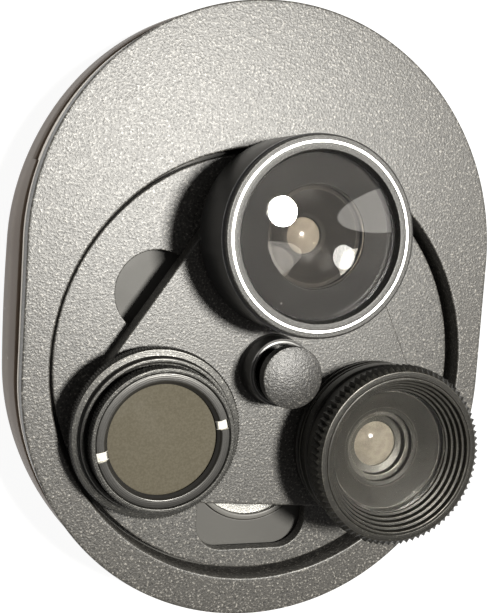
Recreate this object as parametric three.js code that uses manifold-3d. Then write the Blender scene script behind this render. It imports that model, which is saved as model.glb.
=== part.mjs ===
// Rotary lens turret for an optician's viewer: an oblong housing with a round recess, a window disc
// that turns in the recess, a three-armed lens carrier above it with a fisheye, a polariser and a
// wide-angle lens over a macro base, and a sprung push knob on the common pivot.
//
// Units are millimetres. The part lies on its back: +Z runs from the rear face (z = 0) to the lenses,
// +Y runs along the long side of the housing, and the turret turns about the Z axis.

import * as THREE from "three";
import { mergeVertices } from "three/addons/utils/BufferGeometryUtils.js";
import Module from "manifold-3d";

const wasm = await Module();
wasm.setup();

// ---------------------------------------------------------------- driving dimensions

const gap = 0.3; // clearance between neighbouring pieces
const weld = 0.5; // how far solids run into each other where they are joined
const cut = 1; // how far a cutter passes the faces it cuts

// Housing
const frontFaceZ = 16; // height of the cover's front face above the rear face
const coverRim = 3.5; // width of the cover's rim round the recess, at its narrowest
const upperEndY = 15.7; // centre of the cover's upper round end
const lowerEndY = -1.7; // centre of the cover's lower round end
const coverEdge = 0.5; // chamfer round the front face
const coverPlate = 2; // thickness of the cover's front plate
const coverWall = 1.4; // thickness of the cover's skirt and of the recess collar
const coverDepth = 3.1; // height of the cover's skirt
const stripHeight = 1.1; // height of the pale rim strip that shows all round
const stripExtra = 1.3; // further height of the strip that shows round the upper end
const stripStepY = 25.9; // where the rear shell's edge steps down
const stripWall = 1.2;
const shellWall = 1.6;
const shellFloor = 1.8;
const shellBulge = 0.8; // how far the shell's belly stands out past the cover
const shellSideBow = 0.7; // extra width at the middle of the long sides
const shellBowReach = 0.6; // share of the end radius over which that width fades out
const shellBellyZ = 5; // height of the widest section
const shellFootInset = 2.6; // how far the rear face is set in from the cover's outline
const shellSections = [
  // from the foot to the belly: share of the belly's height, inset from the belly, share of the side bow
  { rise: 0.25, inset: 1.2, bow: 0.6 },
  { rise: 0.6, inset: 0.3, bow: 0.9 },
  { rise: 1, inset: 0, bow: 1 },
];
const shellShoulder = { inset: 0.2, bow: 0.9 }; // halfway from the belly to the front edge
const shellLip = { outset: 0.2, bow: 0.3 }; // the front edge, past the cover's outline
const cavityRise = 0.6; // share of the belly's height at which the cavity has its full width
const deckSink = 4.8; // depth of the deck's top below the cover's front face
const deckThickness = 1.5;

// Screws that hold the deck and the cover to the rear shell
const screwAngle = 46; // angle of each screw from the long axis, about its round end's centre
const screwHeadRadius = 2.1;
const screwHeadHeight = 1;
const screwHeadInset = 0.3;
const screwShankRadius = 1;
const bossWall = 1.4;
const upperScrewReach = 2.2; // how far the upper screws pass above the deck into the cover

// Viewing window in the deck and in the rear face
const viewRingRadius = 9.1;
const viewSpacing = 0.7; // between the viewing ring and the pivot post's flange
const viewRingWall = 0.75;
const viewShelf = 0.9;
const viewRingProud = 0.2;
const viewRingTail = 0.6; // how far the ring reaches below the deck
const viewGlass = 0.8;
const viewGlassSink = 0.2; // depth of the glass below the deck's top
const baffleWall = 1.2;
const rearWindowRadius = 7.2;
const rearWindowInset = 0.5;

// Turret
const recessMargin = 1.65; // between the carrier's corners and the recess wall
const discClearance = 0.65; // between the disc's edge and the recess wall
const discSink = 2.45; // depth of the disc's top below the cover's front face
const discThickness = 1.8;
const lensSpacing = 0.85; // between the fisheye's barrel and the knob's collar
const roundWindowRadius = 5.75;
const roundWindowAngle = 149;
const squareWindowSide = 16.3;
const squareWindowCorner = 4;
const squareWindowAngle = 269.3;
const carrierTop = 1; // height of the carrier's top above the cover's front face
const socketWall = 1.9; // wall of the carrier's corners round the lens sockets
const carrierTurn = -3.7; // the carrier's turn at rest, in degrees
const washerThickness = 0.7;
const washerRadius = 6.2;

// Pivot and push knob
const postRadius = 2.3;
const postBore = 1.5;
const postFlangeRadius = 4.2;
const postFlangeHeight = 1.3;
const stemRadius = 1.2;
const collarRadius = 4.6;
const collarHeight = 3.4;
const collarBore = 3.9;
const collarBevel = 0.4;
const knobRadius = 4.1;
const knobHeight = 1.6; // straight side of the knob's head
const knobCrown = 0.58; // dome on top of it
const knobEdge = 0.2; // chamfer round the head
const knobWeb = 0.3; // distance from the head down to the hollow in the neck
const knobNeckRadius = 3.1;
const knobNeckWall = 0.7;
const knobNeckSink = 0.3; // how far the neck stands in the collar at rest
const knobTravel = 1.5;
const knobRoom = 1.9; // space between the knob's head and the collar
const springWire = 0.4;
const springTurns = 2.5;
const springFacets = 14; // steps along the wire in one turn
const clipRadius = 2.6;
const clipThickness = 0.7;
const stemTail = 0.8; // how far the stem passes below its clip

// Lenses: radii about each lens axis, heights above the cover's front face
const socketRadius = 8; // threaded socket in the carrier
const lensSeat = 1.35; // height of the underside of each lens body
const fisheyeRadius = 13;
const fisheyeBarrelTop = 11;
const fisheyeFloor = 1; // thickness of the barrel's floor round the rear glass
const fisheyeRingInset = 0.17; // how far the front ring is set in from the barrel
const fisheyeRingWidth = 2.2;
const fisheyeRingBevel = { width: 0.2, depth: 0.3 };
const fisheyeTail = { wall: 0.7, depth: 1.2 }; // the front ring's tail, inside the barrel
const fisheyeFront = 11.85;
const fisheyeGlassEdge = 0.9;
const fisheyeGlassSink = 0.2; // height of the front glass above the ring's tail
const fisheyeDome = 0.8;
const fisheyeSecond = { seat: 6.8, sink: 2, edge: 1.5, dish: 0.65 }; // the second glass, hollow at its front
const fisheyeAperture = 6.1; // clear radius under the second glass
const fisheyeStop = { radius: 2.5, height: 2.4 }; // narrow end of the inner cone
const fisheyeThroat = 3.4; // radius of the rear glass
const fisheyeRear = { lift: 0.6, edge: 0.8, dome: 0.9 }; // the rear glass
const polariserBaseRadius = 11.34;
const polariserBaseTop = 4.1;
const polariserBossRadius = 10.1; // raised boss on the base, round the turning ring's foot
const polariserBossHeight = 1.1;
const polariserSpigotWall = 1.9;
const polariserRingRadius = 9.42;
const polariserTail = { inset: 1, depth: 1.4 }; // the turning ring's tail, inside the base
const polariserFront = 7.8;
const polariserOpening = 7.05;
const polariserSeat = 8.65; // bore that holds the glass and its retaining ring
const polariserGlass = 0.8;
const polariserRetainerHeight = 0.7;
const polariserRetainerLip = 7.6; // bore of the retaining ring's front edge
const polariserNotch = 1.3;
const polariserNotchTurn = 104; // angle of the notches
const macroRadius = 9;
const macroTop = 3.9;
const macroGlass = { edge: 0.6, dome: 1.3 };
const macroGlassRadius = 3.9;
const macroOpening = 3;
const wideRadius = 12.05;
const wideFront = 10.8;
const wideSeat = 3.9;
const wideFloor = 1; // thickness of the barrel's floor
const wideOpening = 8.54;
const wideStepWidth = 0.45; // each step round the front opening
const wideStepHeight = 0.65;
const wideStepCount = 4;
const wideFrontRingWall = 0.4; // front ring's flat rim outside the steps
const wideGlass = 1.4;
const wideDome = 0.4;
const wideThroat = 4.9;
const wideCone = { lip: 0.5, foot: 0.7 }; // thickness of the inner cone at its front and at its foot

// Radii that follow
const lensCircle = collarRadius + lensSpacing + fisheyeRadius; // distance from the pivot to each lens axis
const carrierCorner = socketRadius + socketWall; // radius of the carrier's corners about the lens axes
const recessRadius = lensCircle + carrierCorner + recessMargin;
const discRadius = recessRadius - discClearance;
const coverRadius = recessRadius + coverRim; // radius of the cover's two round ends
const fisheyeRingRadius = fisheyeRadius - fisheyeRingInset;
const fisheyeRingBore = fisheyeRingRadius - fisheyeRingWidth;
const viewY = -(postFlangeRadius + viewSpacing + viewRingRadius);
const farY = 2 * (coverRadius + upperEndY); // reach of the cutters, past every side of the housing

// Facets
const recessSides = 72;
const largeSides = 36;
const middleSides = 24;
const smallSides = 16;

// ---------------------------------------------------------------- solids

/** A closed geometry's Manifold, with its shared points merged and its empty triangles dropped. */
function toSolid(geometry) {
  const bare = geometry.index ? geometry.toNonIndexed() : geometry.clone();
  bare.deleteAttribute("normal");
  bare.deleteAttribute("uv");
  const merged = mergeVertices(bare, 1e-4);
  const corners = merged.index.array;
  const kept = [];
  for (let i = 0; i < corners.length; i += 3) {
    const [a, b, c] = corners.slice(i, i + 3);
    if (a !== b && b !== c && c !== a) kept.push(a, b, c);
  }
  const mesh = new wasm.Mesh({
    numProp: 3,
    vertProperties: new Float32Array(merged.attributes.position.array),
    triVerts: new Uint32Array(kept),
  });
  return new wasm.Manifold(mesh);
}

/** Turns a section of [radius, z] points, listed anticlockwise, about the Z axis. */
function revolve(section, sides) {
  const points = section.map(([r, z]) => new THREE.Vector2(r, z));
  const touchesAxis = section[0][0] === 0 && section[section.length - 1][0] === 0;
  if (!touchesAxis) points.push(points[0].clone());
  return toSolid(new THREE.LatheGeometry(points, sides).rotateX(Math.PI / 2));
}

/** A ring or, with no bore, a disc. */
function ring(outer, bore, z0, z1, sides) {
  if (bore === 0) return revolve([[0, z0], [outer, z0], [outer, z1], [0, z1]], sides);
  return revolve([[bore, z0], [outer, z0], [outer, z1], [bore, z1]], sides);
}

/** Points of a lens surface's half section, from the rim to the axis or the other way round. */
function domePoints(radius, rimZ, height, count = 5) {
  const sphere = (radius * radius + height * height) / (2 * height);
  const points = [];
  for (let i = 0; i <= count; i++) {
    const r = radius * (1 - i / count);
    points.push([r, rimZ + Math.sign(height) * Math.sqrt(sphere * sphere - r * r) - (sphere - height)]);
  }
  points[count][0] = 0;
  return points;
}

/** A straight-sided solid on a flat outline of Vector2 points. */
function prism(outline, z0, z1) {
  const shape = new THREE.Shape(outline);
  return toSolid(new THREE.ExtrudeGeometry(shape, { depth: z1 - z0, bevelEnabled: false }).translate(0, 0, z0));
}

/** A rectangular cutter that is wider than the housing, between two heights and two places along Y. */
function slab(y0, y1, z0, z1) {
  const corners = [[-farY, y0], [farY, y0], [farY, y1], [-farY, y1]];
  return prism(corners.map(([x, y]) => new THREE.Vector2(x, y)), z0, z1);
}

/** The housing's outline: two round ends of one radius, joined by sides that may bow outwards. */
function housingOutline(radius, bow = 0) {
  const points = [];
  const arcSteps = 16;
  const sideSteps = 4;
  const middleY = (upperEndY + lowerEndY) / 2;
  const reach = (upperEndY - lowerEndY) / 2 + radius * shellBowReach;
  const add = (x, y) => {
    const share = Math.max(-1, Math.min(1, (y - middleY) / reach));
    const swell = (bow * (1 + Math.cos(Math.PI * share))) / 2;
    points.push(new THREE.Vector2(x + Math.sign(x) * swell * Math.min(1, Math.abs(x) / (radius / 2)), y));
  };
  for (let i = 0; i <= arcSteps; i++) {
    const angle = (Math.PI * i) / arcSteps;
    add(radius * Math.cos(angle), upperEndY + radius * Math.sin(angle));
  }
  for (let i = 1; i < sideSteps; i++) add(-radius, upperEndY + ((lowerEndY - upperEndY) * i) / sideSteps);
  for (let i = 0; i <= arcSteps; i++) {
    const angle = Math.PI + (Math.PI * i) / arcSteps;
    add(radius * Math.cos(angle), lowerEndY + radius * Math.sin(angle));
  }
  for (let i = 1; i < sideSteps; i++) add(radius, lowerEndY + ((upperEndY - lowerEndY) * i) / sideSteps);
  return points;
}

/** Joins outlines with equal numbers of points, each at its own height, into one closed solid. */
function loft(sections) {
  const count = sections[0].outline.length;
  const positions = [];
  const faces = [];
  for (const { outline, z } of sections) for (const p of outline) positions.push(p.x, p.y, z);
  for (let k = 0; k + 1 < sections.length; k++) {
    for (let i = 0; i < count; i++) {
      const a = k * count + i;
      const b = k * count + ((i + 1) % count);
      faces.push(a, b, b + count, a, b + count, a + count);
    }
  }
  const last = (sections.length - 1) * count;
  for (let i = 1; i + 1 < count; i++) faces.push(0, i + 1, i, last, last + i, last + i + 1);
  const geometry = new THREE.BufferGeometry();
  geometry.setAttribute("position", new THREE.Float32BufferAttribute(positions, 3));
  geometry.setIndex(faces);
  return toSolid(geometry);
}

/** A Manifold's surface as three.js geometry. */
function toGeometry(solid) {
  const mesh = solid.getMesh();
  const geometry = new THREE.BufferGeometry();
  geometry.setAttribute("position", new THREE.Float32BufferAttribute(mesh.vertProperties, 3));
  geometry.setIndex(new THREE.Uint32BufferAttribute(mesh.triVerts, 1));
  geometry.computeVertexNormals();
  return geometry;
}

// ---------------------------------------------------------------- materials

const material = (color, roughness, metalness = 0, opacity = 1) =>
  new THREE.MeshStandardMaterial({ color, roughness, metalness, opacity, transparent: opacity < 1 });

const finishes = {
  sparkPlastic: material(0x4a4a49, 0.55),
  blackPlastic: material(0x141415, 0.45),
  deckPlastic: material(0xa8a6a0, 0.4),
  shellPlastic: material(0x7d7065, 0.45),
  creamPlastic: material(0xdcd3c4, 0.5),
  blackMetal: material(0x1c1c1d, 0.35, 0.7),
  steel: material(0xb8b8b8, 0.3, 1),
  washerPlastic: material(0xe4e2dc, 0.4),
  glass: material(0xdfe6e8, 0.05, 0, 0.35),
  polarisingGlass: material(0x5b5a50, 0.08, 0, 0.8),
};

/** A named mesh of one solid. */
function part(name, solid, finish) {
  const mesh = new THREE.Mesh(toGeometry(solid), finishes[finish]);
  mesh.name = name;
  return mesh;
}

/** A group holding the given parts, turned about Z and placed. */
function assembly(parts, { x = 0, y = 0, z = 0, turn = 0 } = {}) {
  const group = new THREE.Group();
  group.position.set(x, y, z);
  group.rotation.z = THREE.MathUtils.degToRad(turn);
  group.add(...parts);
  return group;
}

const polar = (radius, degrees) => {
  const angle = THREE.MathUtils.degToRad(degrees);
  return { x: radius * Math.cos(angle), y: radius * Math.sin(angle) };
};

// ---------------------------------------------------------------- heights that follow

const skirtZ = frontFaceZ - coverDepth;
const stripTopZ = skirtZ - gap;
const stripLowZ = stripTopZ - stripHeight - stripExtra;
const shellTopZ = stripTopZ - stripHeight - gap;
const shellLowTopZ = stripLowZ - gap;
const deckTopZ = frontFaceZ - deckSink;
const deckLowZ = deckTopZ - deckThickness;
const discTopZ = frontFaceZ - discSink;
const discLowZ = discTopZ - discThickness;
const waveWasherZ = deckTopZ + gap;
const frictionWasherZ = discTopZ + gap;
const carrierLowZ = discTopZ + gap;
const carrierTopZ = frontFaceZ + carrierTop;
const cavityRadius = coverRadius - shellWall;
const collarLowZ = carrierTopZ + gap;
const collarTopZ = collarLowZ + collarHeight;
const knobHeadZ = collarTopZ + knobRoom; // underside of the knob's head
const knobCeilingZ = knobHeadZ - knobWeb; // top of the hollow in the knob's neck
const knobNeckLowZ = collarTopZ - knobNeckSink;
const postTopZ = knobNeckLowZ - knobTravel - gap;
const springLowZ = postTopZ + gap;
const flangeLowZ = deckLowZ - gap - postFlangeHeight;
const clipTopZ = flangeLowZ - gap;
const seatZ = frontFaceZ + lensSeat;
const spigotRadius = socketRadius - gap;
const spigotLowZ = carrierLowZ + gap;
const screwHoleRadius = screwShankRadius + gap;
const bossRadius = screwHoleRadius + bossWall;
const screwReach = coverRadius - shellFootInset - shellWall - bossRadius - 2 * gap;
const screwX = screwReach * Math.sin(THREE.MathUtils.degToRad(screwAngle));
const screwRise = screwReach * Math.cos(THREE.MathUtils.degToRad(screwAngle));
const upperScrewY = upperEndY + screwRise;
const lowerScrewY = lowerEndY - screwRise;
const screws = [
  { name: "rear_screw_upper_right", x: screwX, y: upperScrewY, topZ: deckTopZ + upperScrewReach },
  { name: "rear_screw_upper_left", x: -screwX, y: upperScrewY, topZ: deckTopZ + upperScrewReach },
  { name: "rear_screw_lower_left", x: -screwX, y: lowerScrewY, topZ: deckTopZ - gap },
  { name: "rear_screw_lower_right", x: screwX, y: lowerScrewY, topZ: deckTopZ - gap },
];

// ---------------------------------------------------------------- housing

/** Oblong front cover: chamfered plate, outer skirt, and a collar round the turret's recess. */
function frontCover() {
  const plateLowZ = frontFaceZ - coverPlate;
  const collarRadiusOut = recessRadius + coverWall;
  const collarLowZ = deckTopZ + gap;
  const body = loft([
    { outline: housingOutline(coverRadius), z: skirtZ },
    { outline: housingOutline(coverRadius), z: frontFaceZ - coverEdge },
    { outline: housingOutline(coverRadius - coverEdge), z: frontFaceZ },
  ]);
  const hollow = prism(housingOutline(coverRadius - coverWall), skirtZ - cut, plateLowZ);
  const bodyShell = body.subtract(hollow);
  const collarRing = ring(collarRadiusOut, recessRadius - cut, collarLowZ, plateLowZ + weld, recessSides);
  const inside = prism(housingOutline(coverRadius - coverWall + weld), collarLowZ, plateLowZ + weld);
  let cover = bodyShell.add(collarRing.intersect(inside));
  for (const screw of screws.slice(0, 2)) {
    const boss = ring(bossRadius, 0, collarLowZ, plateLowZ + weld, smallSides);
    cover = cover.add(boss.translate([screw.x, screw.y, 0]));
  }
  cover = cover.subtract(ring(recessRadius, 0, 0, frontFaceZ + cut, recessSides));
  for (const screw of screws.slice(0, 2)) {
    const hole = ring(screwHoleRadius, 0, 0, screw.topZ + gap, smallSides).translate([screw.x, screw.y, 0]);
    cover = cover.subtract(hole);
  }
  return cover;
}

/** Pale strip between the cover and the rear shell, taller round the upper end. */
function rimStrip() {
  const outer = prism(housingOutline(coverRadius), stripLowZ, stripTopZ);
  const inner = prism(housingOutline(coverRadius - stripWall), stripLowZ - cut, stripTopZ + cut);
  const lowPart = slab(-farY, stripStepY, stripLowZ - cut, stripTopZ - stripHeight);
  return outer.subtract(inner).subtract(lowPart);
}

/** Bellied rear shell, open to the front, with the viewing hole and the screws' counterbores. */
function rearShell() {
  const belly = coverRadius + shellBulge;
  const section = (radius, bowShare, z) => ({ outline: housingOutline(radius, shellSideBow * bowShare), z });
  const body = loft([
    section(coverRadius - shellFootInset, 0, 0),
    ...shellSections.map(({ rise, inset, bow }) => section(belly - inset, bow, shellBellyZ * rise)),
    section(belly - shellShoulder.inset, shellShoulder.bow, (shellBellyZ + shellTopZ) / 2),
    section(coverRadius + shellLip.outset, shellLip.bow, shellTopZ),
  ]);
  const cavity = loft([
    section(coverRadius - shellFootInset - shellWall, 0, shellFloor),
    section(cavityRadius, 0, shellBellyZ * cavityRise + shellFloor),
    section(cavityRadius, 0, shellTopZ + cut),
  ]);
  const stepDown = slab(stripStepY - gap, farY, shellLowTopZ, shellTopZ + cut);
  const viewHole = ring(rearWindowRadius + gap, 0, -cut, shellFloor + cut, middleSides).translate([0, viewY, 0]);
  let shell = body.subtract(cavity).subtract(stepDown).subtract(viewHole);
  for (const screw of screws) {
    const through = ring(screwHoleRadius, 0, -cut, shellFloor + cut, smallSides);
    const counterbore = ring(screwHeadRadius + gap, 0, -cut, screwHeadInset + screwHeadHeight, smallSides);
    shell = shell.subtract(through.add(counterbore).translate([screw.x, screw.y, 0]));
  }
  return shell;
}

/** Pale deck under the turret, on four screw posts, with holes for the pivot and the viewing ring. */
function innerDeck() {
  let deck = prism(housingOutline(cavityRadius - gap), deckLowZ, deckTopZ);
  for (const screw of screws) {
    const boss = ring(bossRadius, 0, shellFloor + gap, deckLowZ + weld, smallSides);
    deck = deck.add(boss.translate([screw.x, screw.y, 0]));
  }
  const viewHole = ring(viewRingRadius + gap, 0, 0, deckTopZ + cut, middleSides).translate([0, viewY, 0]);
  deck = deck.subtract(ring(postRadius + gap, 0, 0, deckTopZ + cut, smallSides)).subtract(viewHole);
  for (const screw of screws) {
    const hole = ring(screwHoleRadius, 0, 0, deckTopZ + cut, smallSides);
    deck = deck.subtract(hole.translate([screw.x, screw.y, 0]));
  }
  return deck;
}

/** Machine screw with its head down, from the counterbore up to topZ. */
function rearScrew(topZ) {
  const headTopZ = screwHeadInset + screwHeadHeight - gap;
  return revolve(
    [[0, screwHeadInset], [screwHeadRadius, screwHeadInset], [screwHeadRadius, headTopZ],
      [screwShankRadius, headTopZ], [screwShankRadius, topZ], [0, topZ]],
    smallSides,
  );
}

/** The viewing window's pieces, on their own axis. */
function viewingWindow() {
  const ringTopZ = deckTopZ + viewRingProud;
  const boreRadius = viewRingRadius - viewRingWall;
  const shelfTopZ = deckTopZ - viewGlassSink - viewGlass - gap;
  const ringLowZ = deckLowZ - viewRingTail;
  const viewRing = revolve(
    [[boreRadius - viewShelf, ringLowZ], [viewRingRadius, ringLowZ], [viewRingRadius, ringTopZ],
      [boreRadius, ringTopZ], [boreRadius, shelfTopZ], [boreRadius - viewShelf, shelfTopZ]],
    middleSides,
  );
  const glassLowZ = shelfTopZ + gap;
  const viewPane = ring(boreRadius - gap, 0, glassLowZ, glassLowZ + viewGlass, middleSides);
  const baffle = ring(viewRingRadius, viewRingRadius - baffleWall, shellFloor + gap, ringLowZ - gap, middleSides);
  const rearPane = ring(rearWindowRadius, 0, rearWindowInset, rearWindowInset + viewGlass, middleSides);
  return assembly(
    [
      part("viewing_ring", viewRing, "deckPlastic"),
      part("viewing_glass", viewPane, "glass"),
      part("light_baffle_tube", baffle, "blackPlastic"),
      part("rear_window_glass", rearPane, "glass"),
    ],
    { y: viewY },
  );
}

/** Hollow pivot post with a flange under the deck. */
function pivotPost() {
  const flangeTopZ = flangeLowZ + postFlangeHeight;
  return revolve(
    [[postBore, flangeLowZ], [postFlangeRadius, flangeLowZ], [postFlangeRadius, flangeTopZ],
      [postRadius, flangeTopZ], [postRadius, postTopZ], [postBore, postTopZ]],
    smallSides,
  );
}

// ---------------------------------------------------------------- turret

/** Outline of the square window, with rounded corners, centred on its own middle. */
function squareWindowOutline() {
  const half = squareWindowSide / 2;
  const reach = half - squareWindowCorner;
  const points = [];
  const steps = 6;
  for (let corner = 0; corner < 4; corner++) {
    const centre = new THREE.Vector2(reach, reach).rotateAround(new THREE.Vector2(), (corner * Math.PI) / 2);
    for (let i = 0; i <= steps; i++) {
      const angle = (Math.PI / 2) * (corner + i / steps);
      const arm = new THREE.Vector2(Math.cos(angle), Math.sin(angle)).multiplyScalar(squareWindowCorner);
      points.push(arm.add(centre));
    }
  }
  return points;
}

/** Disc with a round and a square window, bored for the post and cut out for the wave washer. */
function windowDisc() {
  const roundAt = polar(lensCircle, roundWindowAngle);
  const round = ring(roundWindowRadius, 0, discLowZ - cut, discTopZ + cut, middleSides);
  const square = prism(squareWindowOutline(), discLowZ - cut, discTopZ + cut);
  const squareAt = polar(lensCircle, squareWindowAngle);
  return ring(discRadius, 0, discLowZ, discTopZ, recessSides)
    .subtract(round.translate([roundAt.x, roundAt.y, 0]))
    .subtract(square.rotate([0, 0, squareWindowAngle - 270]).translate([squareAt.x, squareAt.y, 0]))
    .subtract(ring(postRadius + gap, 0, discLowZ - cut, discTopZ + cut, smallSides))
    .subtract(ring(washerRadius + gap, 0, discLowZ - cut, waveWasherZ + washerThickness + gap, smallSides));
}

/** Flat washer round the pivot post. */
function turretWasher(lowZ) {
  return ring(washerRadius, postRadius + gap, lowZ, lowZ + washerThickness, smallSides);
}

/** Outline of the lens carrier: three round corners about the lens axes, joined by straight sides. */
function carrierOutline() {
  const points = [];
  const steps = 12;
  const spread = Math.PI / 3;
  for (let corner = 0; corner < 3; corner++) {
    const middle = Math.PI / 2 + (corner * 2 * Math.PI) / 3;
    const centre = new THREE.Vector2(Math.cos(middle), Math.sin(middle)).multiplyScalar(lensCircle);
    for (let i = 0; i <= steps; i++) {
      const angle = middle - spread + (2 * spread * i) / steps;
      const arm = new THREE.Vector2(Math.cos(angle), Math.sin(angle)).multiplyScalar(carrierCorner);
      points.push(arm.add(centre));
    }
  }
  return points;
}

/** Rounded three-cornered lens carrier with three sockets, a pivot bore and a washer cut-out. */
function lensCarrier() {
  let carrier = prism(carrierOutline(), carrierLowZ, carrierTopZ);
  for (const angle of [90, 210, 330]) {
    const at = polar(lensCircle, angle);
    const socket = ring(socketRadius, 0, 0, carrierTopZ + cut, middleSides);
    carrier = carrier.subtract(socket.translate([at.x, at.y, 0]));
  }
  return carrier
    .subtract(ring(postRadius + gap, 0, 0, carrierTopZ + cut, smallSides))
    .subtract(ring(washerRadius + gap, 0, 0, frictionWasherZ + washerThickness + gap, smallSides));
}

/** Raised collar round the knob, seated on the carrier. */
function knobCollar() {
  return revolve(
    [[collarBore, collarLowZ], [collarRadius, collarLowZ], [collarRadius, collarTopZ - collarBevel],
      [collarRadius - collarBevel, collarTopZ], [collarBore, collarTopZ]],
    middleSides,
  );
}

/** Push knob: mushroom head with a hollow neck that runs in the collar. */
function knobCap() {
  const rimZ = knobHeadZ + knobHeight;
  const neckBore = knobNeckRadius - knobNeckWall;
  return revolve(
    [[0, knobCeilingZ], [neckBore, knobCeilingZ], [neckBore, knobNeckLowZ], [knobNeckRadius, knobNeckLowZ],
      [knobNeckRadius, knobHeadZ], [knobRadius - knobEdge, knobHeadZ], [knobRadius, knobHeadZ + knobEdge],
      [knobRadius, rimZ - knobEdge], ...domePoints(knobRadius - knobEdge, rimZ, knobCrown, 4)],
    middleSides,
  );
}

/** Compression spring between the post and the knob: a wire wound on a helix. */
function knobSpring() {
  const length = knobCeilingZ - gap - springLowZ - springWire;
  const radius = (stemRadius + knobNeckRadius - knobNeckWall) / 2;
  class Helix extends THREE.Curve {
    getPoint(t) {
      const angle = 2 * Math.PI * springTurns * t;
      const z = springLowZ + springWire / 2 + length * t;
      return new THREE.Vector3(radius * Math.cos(angle), radius * Math.sin(angle), z);
    }
  }
  const wire = new THREE.Shape();
  wire.absarc(0, 0, springWire / 2, 0, 2 * Math.PI);
  return toSolid(
    new THREE.ExtrudeGeometry(wire, {
      steps: Math.round(springTurns * springFacets), curveSegments: 4, extrudePath: new Helix(),
    }),
  );
}

/** Straight stem from the knob down through the post. */
function knobStem() {
  return ring(stemRadius, 0, clipTopZ - clipThickness - stemTail, knobCeilingZ - gap, smallSides);
}

/** Clip ring on the lower end of the stem, which stops the knob's spring lifting it out. */
function stemClip() {
  return ring(clipRadius, stemRadius + gap, clipTopZ - clipThickness, clipTopZ, smallSides);
}

// ---------------------------------------------------------------- lenses, each on its own axis

/** Fisheye lens: drum-shaped barrel, front ring, front glass, second glass in an inner cone, and rear glass. */
function fisheyeLens() {
  const barrelTopZ = frontFaceZ + fisheyeBarrelTop;
  const frontZ = frontFaceZ + fisheyeFront;
  const ringTailRadius = fisheyeRingBore + fisheyeTail.wall;
  const ringTailZ = barrelTopZ - fisheyeTail.depth;
  const bore = ringTailRadius + gap;
  const throatZ = seatZ + fisheyeFloor;
  const rearGlassZ = spigotLowZ + fisheyeRear.lift;
  const barrel = revolve(
    [[fisheyeThroat + gap, spigotLowZ], [spigotRadius, spigotLowZ], [spigotRadius, seatZ], [fisheyeRadius, seatZ],
      [fisheyeRadius, barrelTopZ], [bore, barrelTopZ], [bore, throatZ], [fisheyeThroat + gap, throatZ]],
    largeSides,
  );
  const frontRing = revolve(
    [[fisheyeRingBore, ringTailZ], [ringTailRadius, ringTailZ], [ringTailRadius, barrelTopZ + gap],
      [fisheyeRingRadius, barrelTopZ + gap], [fisheyeRingRadius, frontZ],
      [fisheyeRingBore + fisheyeRingBevel.width, frontZ], [fisheyeRingBore, frontZ - fisheyeRingBevel.depth]],
    largeSides,
  );
  const glassRadius = fisheyeRingBore - gap;
  const glassZ = ringTailZ + fisheyeGlassSink;
  const frontGlass = revolve(
    [[0, glassZ], [glassRadius, glassZ], ...domePoints(glassRadius, glassZ + fisheyeGlassEdge, fisheyeDome, 6)],
    largeSides,
  );
  const coneTopZ = glassZ - gap;
  const coneLowZ = throatZ + gap;
  const secondSeatZ = coneTopZ - fisheyeSecond.sink;
  const cone = revolve(
    [[fisheyeStop.radius, coneLowZ], [bore - gap, coneLowZ], [bore - gap, coneTopZ],
      [fisheyeSecond.seat, coneTopZ], [fisheyeSecond.seat, secondSeatZ], [fisheyeAperture, secondSeatZ],
      [fisheyeStop.radius, coneLowZ + fisheyeStop.height]],
    middleSides,
  );
  const secondRadius = fisheyeSecond.seat - gap;
  const secondZ = secondSeatZ + gap;
  const secondGlass = revolve(
    [[0, secondZ], [secondRadius, secondZ],
      ...domePoints(secondRadius, secondZ + fisheyeSecond.edge, -fisheyeSecond.dish, 4)],
    middleSides,
  );
  const rearGlass = revolve(
    [[0, rearGlassZ], [fisheyeThroat, rearGlassZ],
      ...domePoints(fisheyeThroat, rearGlassZ + fisheyeRear.edge, fisheyeRear.dome, 4)],
    smallSides,
  );
  return [
    part("fisheye_barrel", barrel, "blackPlastic"),
    part("fisheye_front_ring", frontRing, "blackMetal"),
    part("fisheye_front_glass", frontGlass, "glass"),
    part("fisheye_second_glass", secondGlass, "glass"),
    part("fisheye_inner_cone", cone, "blackPlastic"),
    part("fisheye_rear_glass", rearGlass, "glass"),
  ];
}

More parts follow.
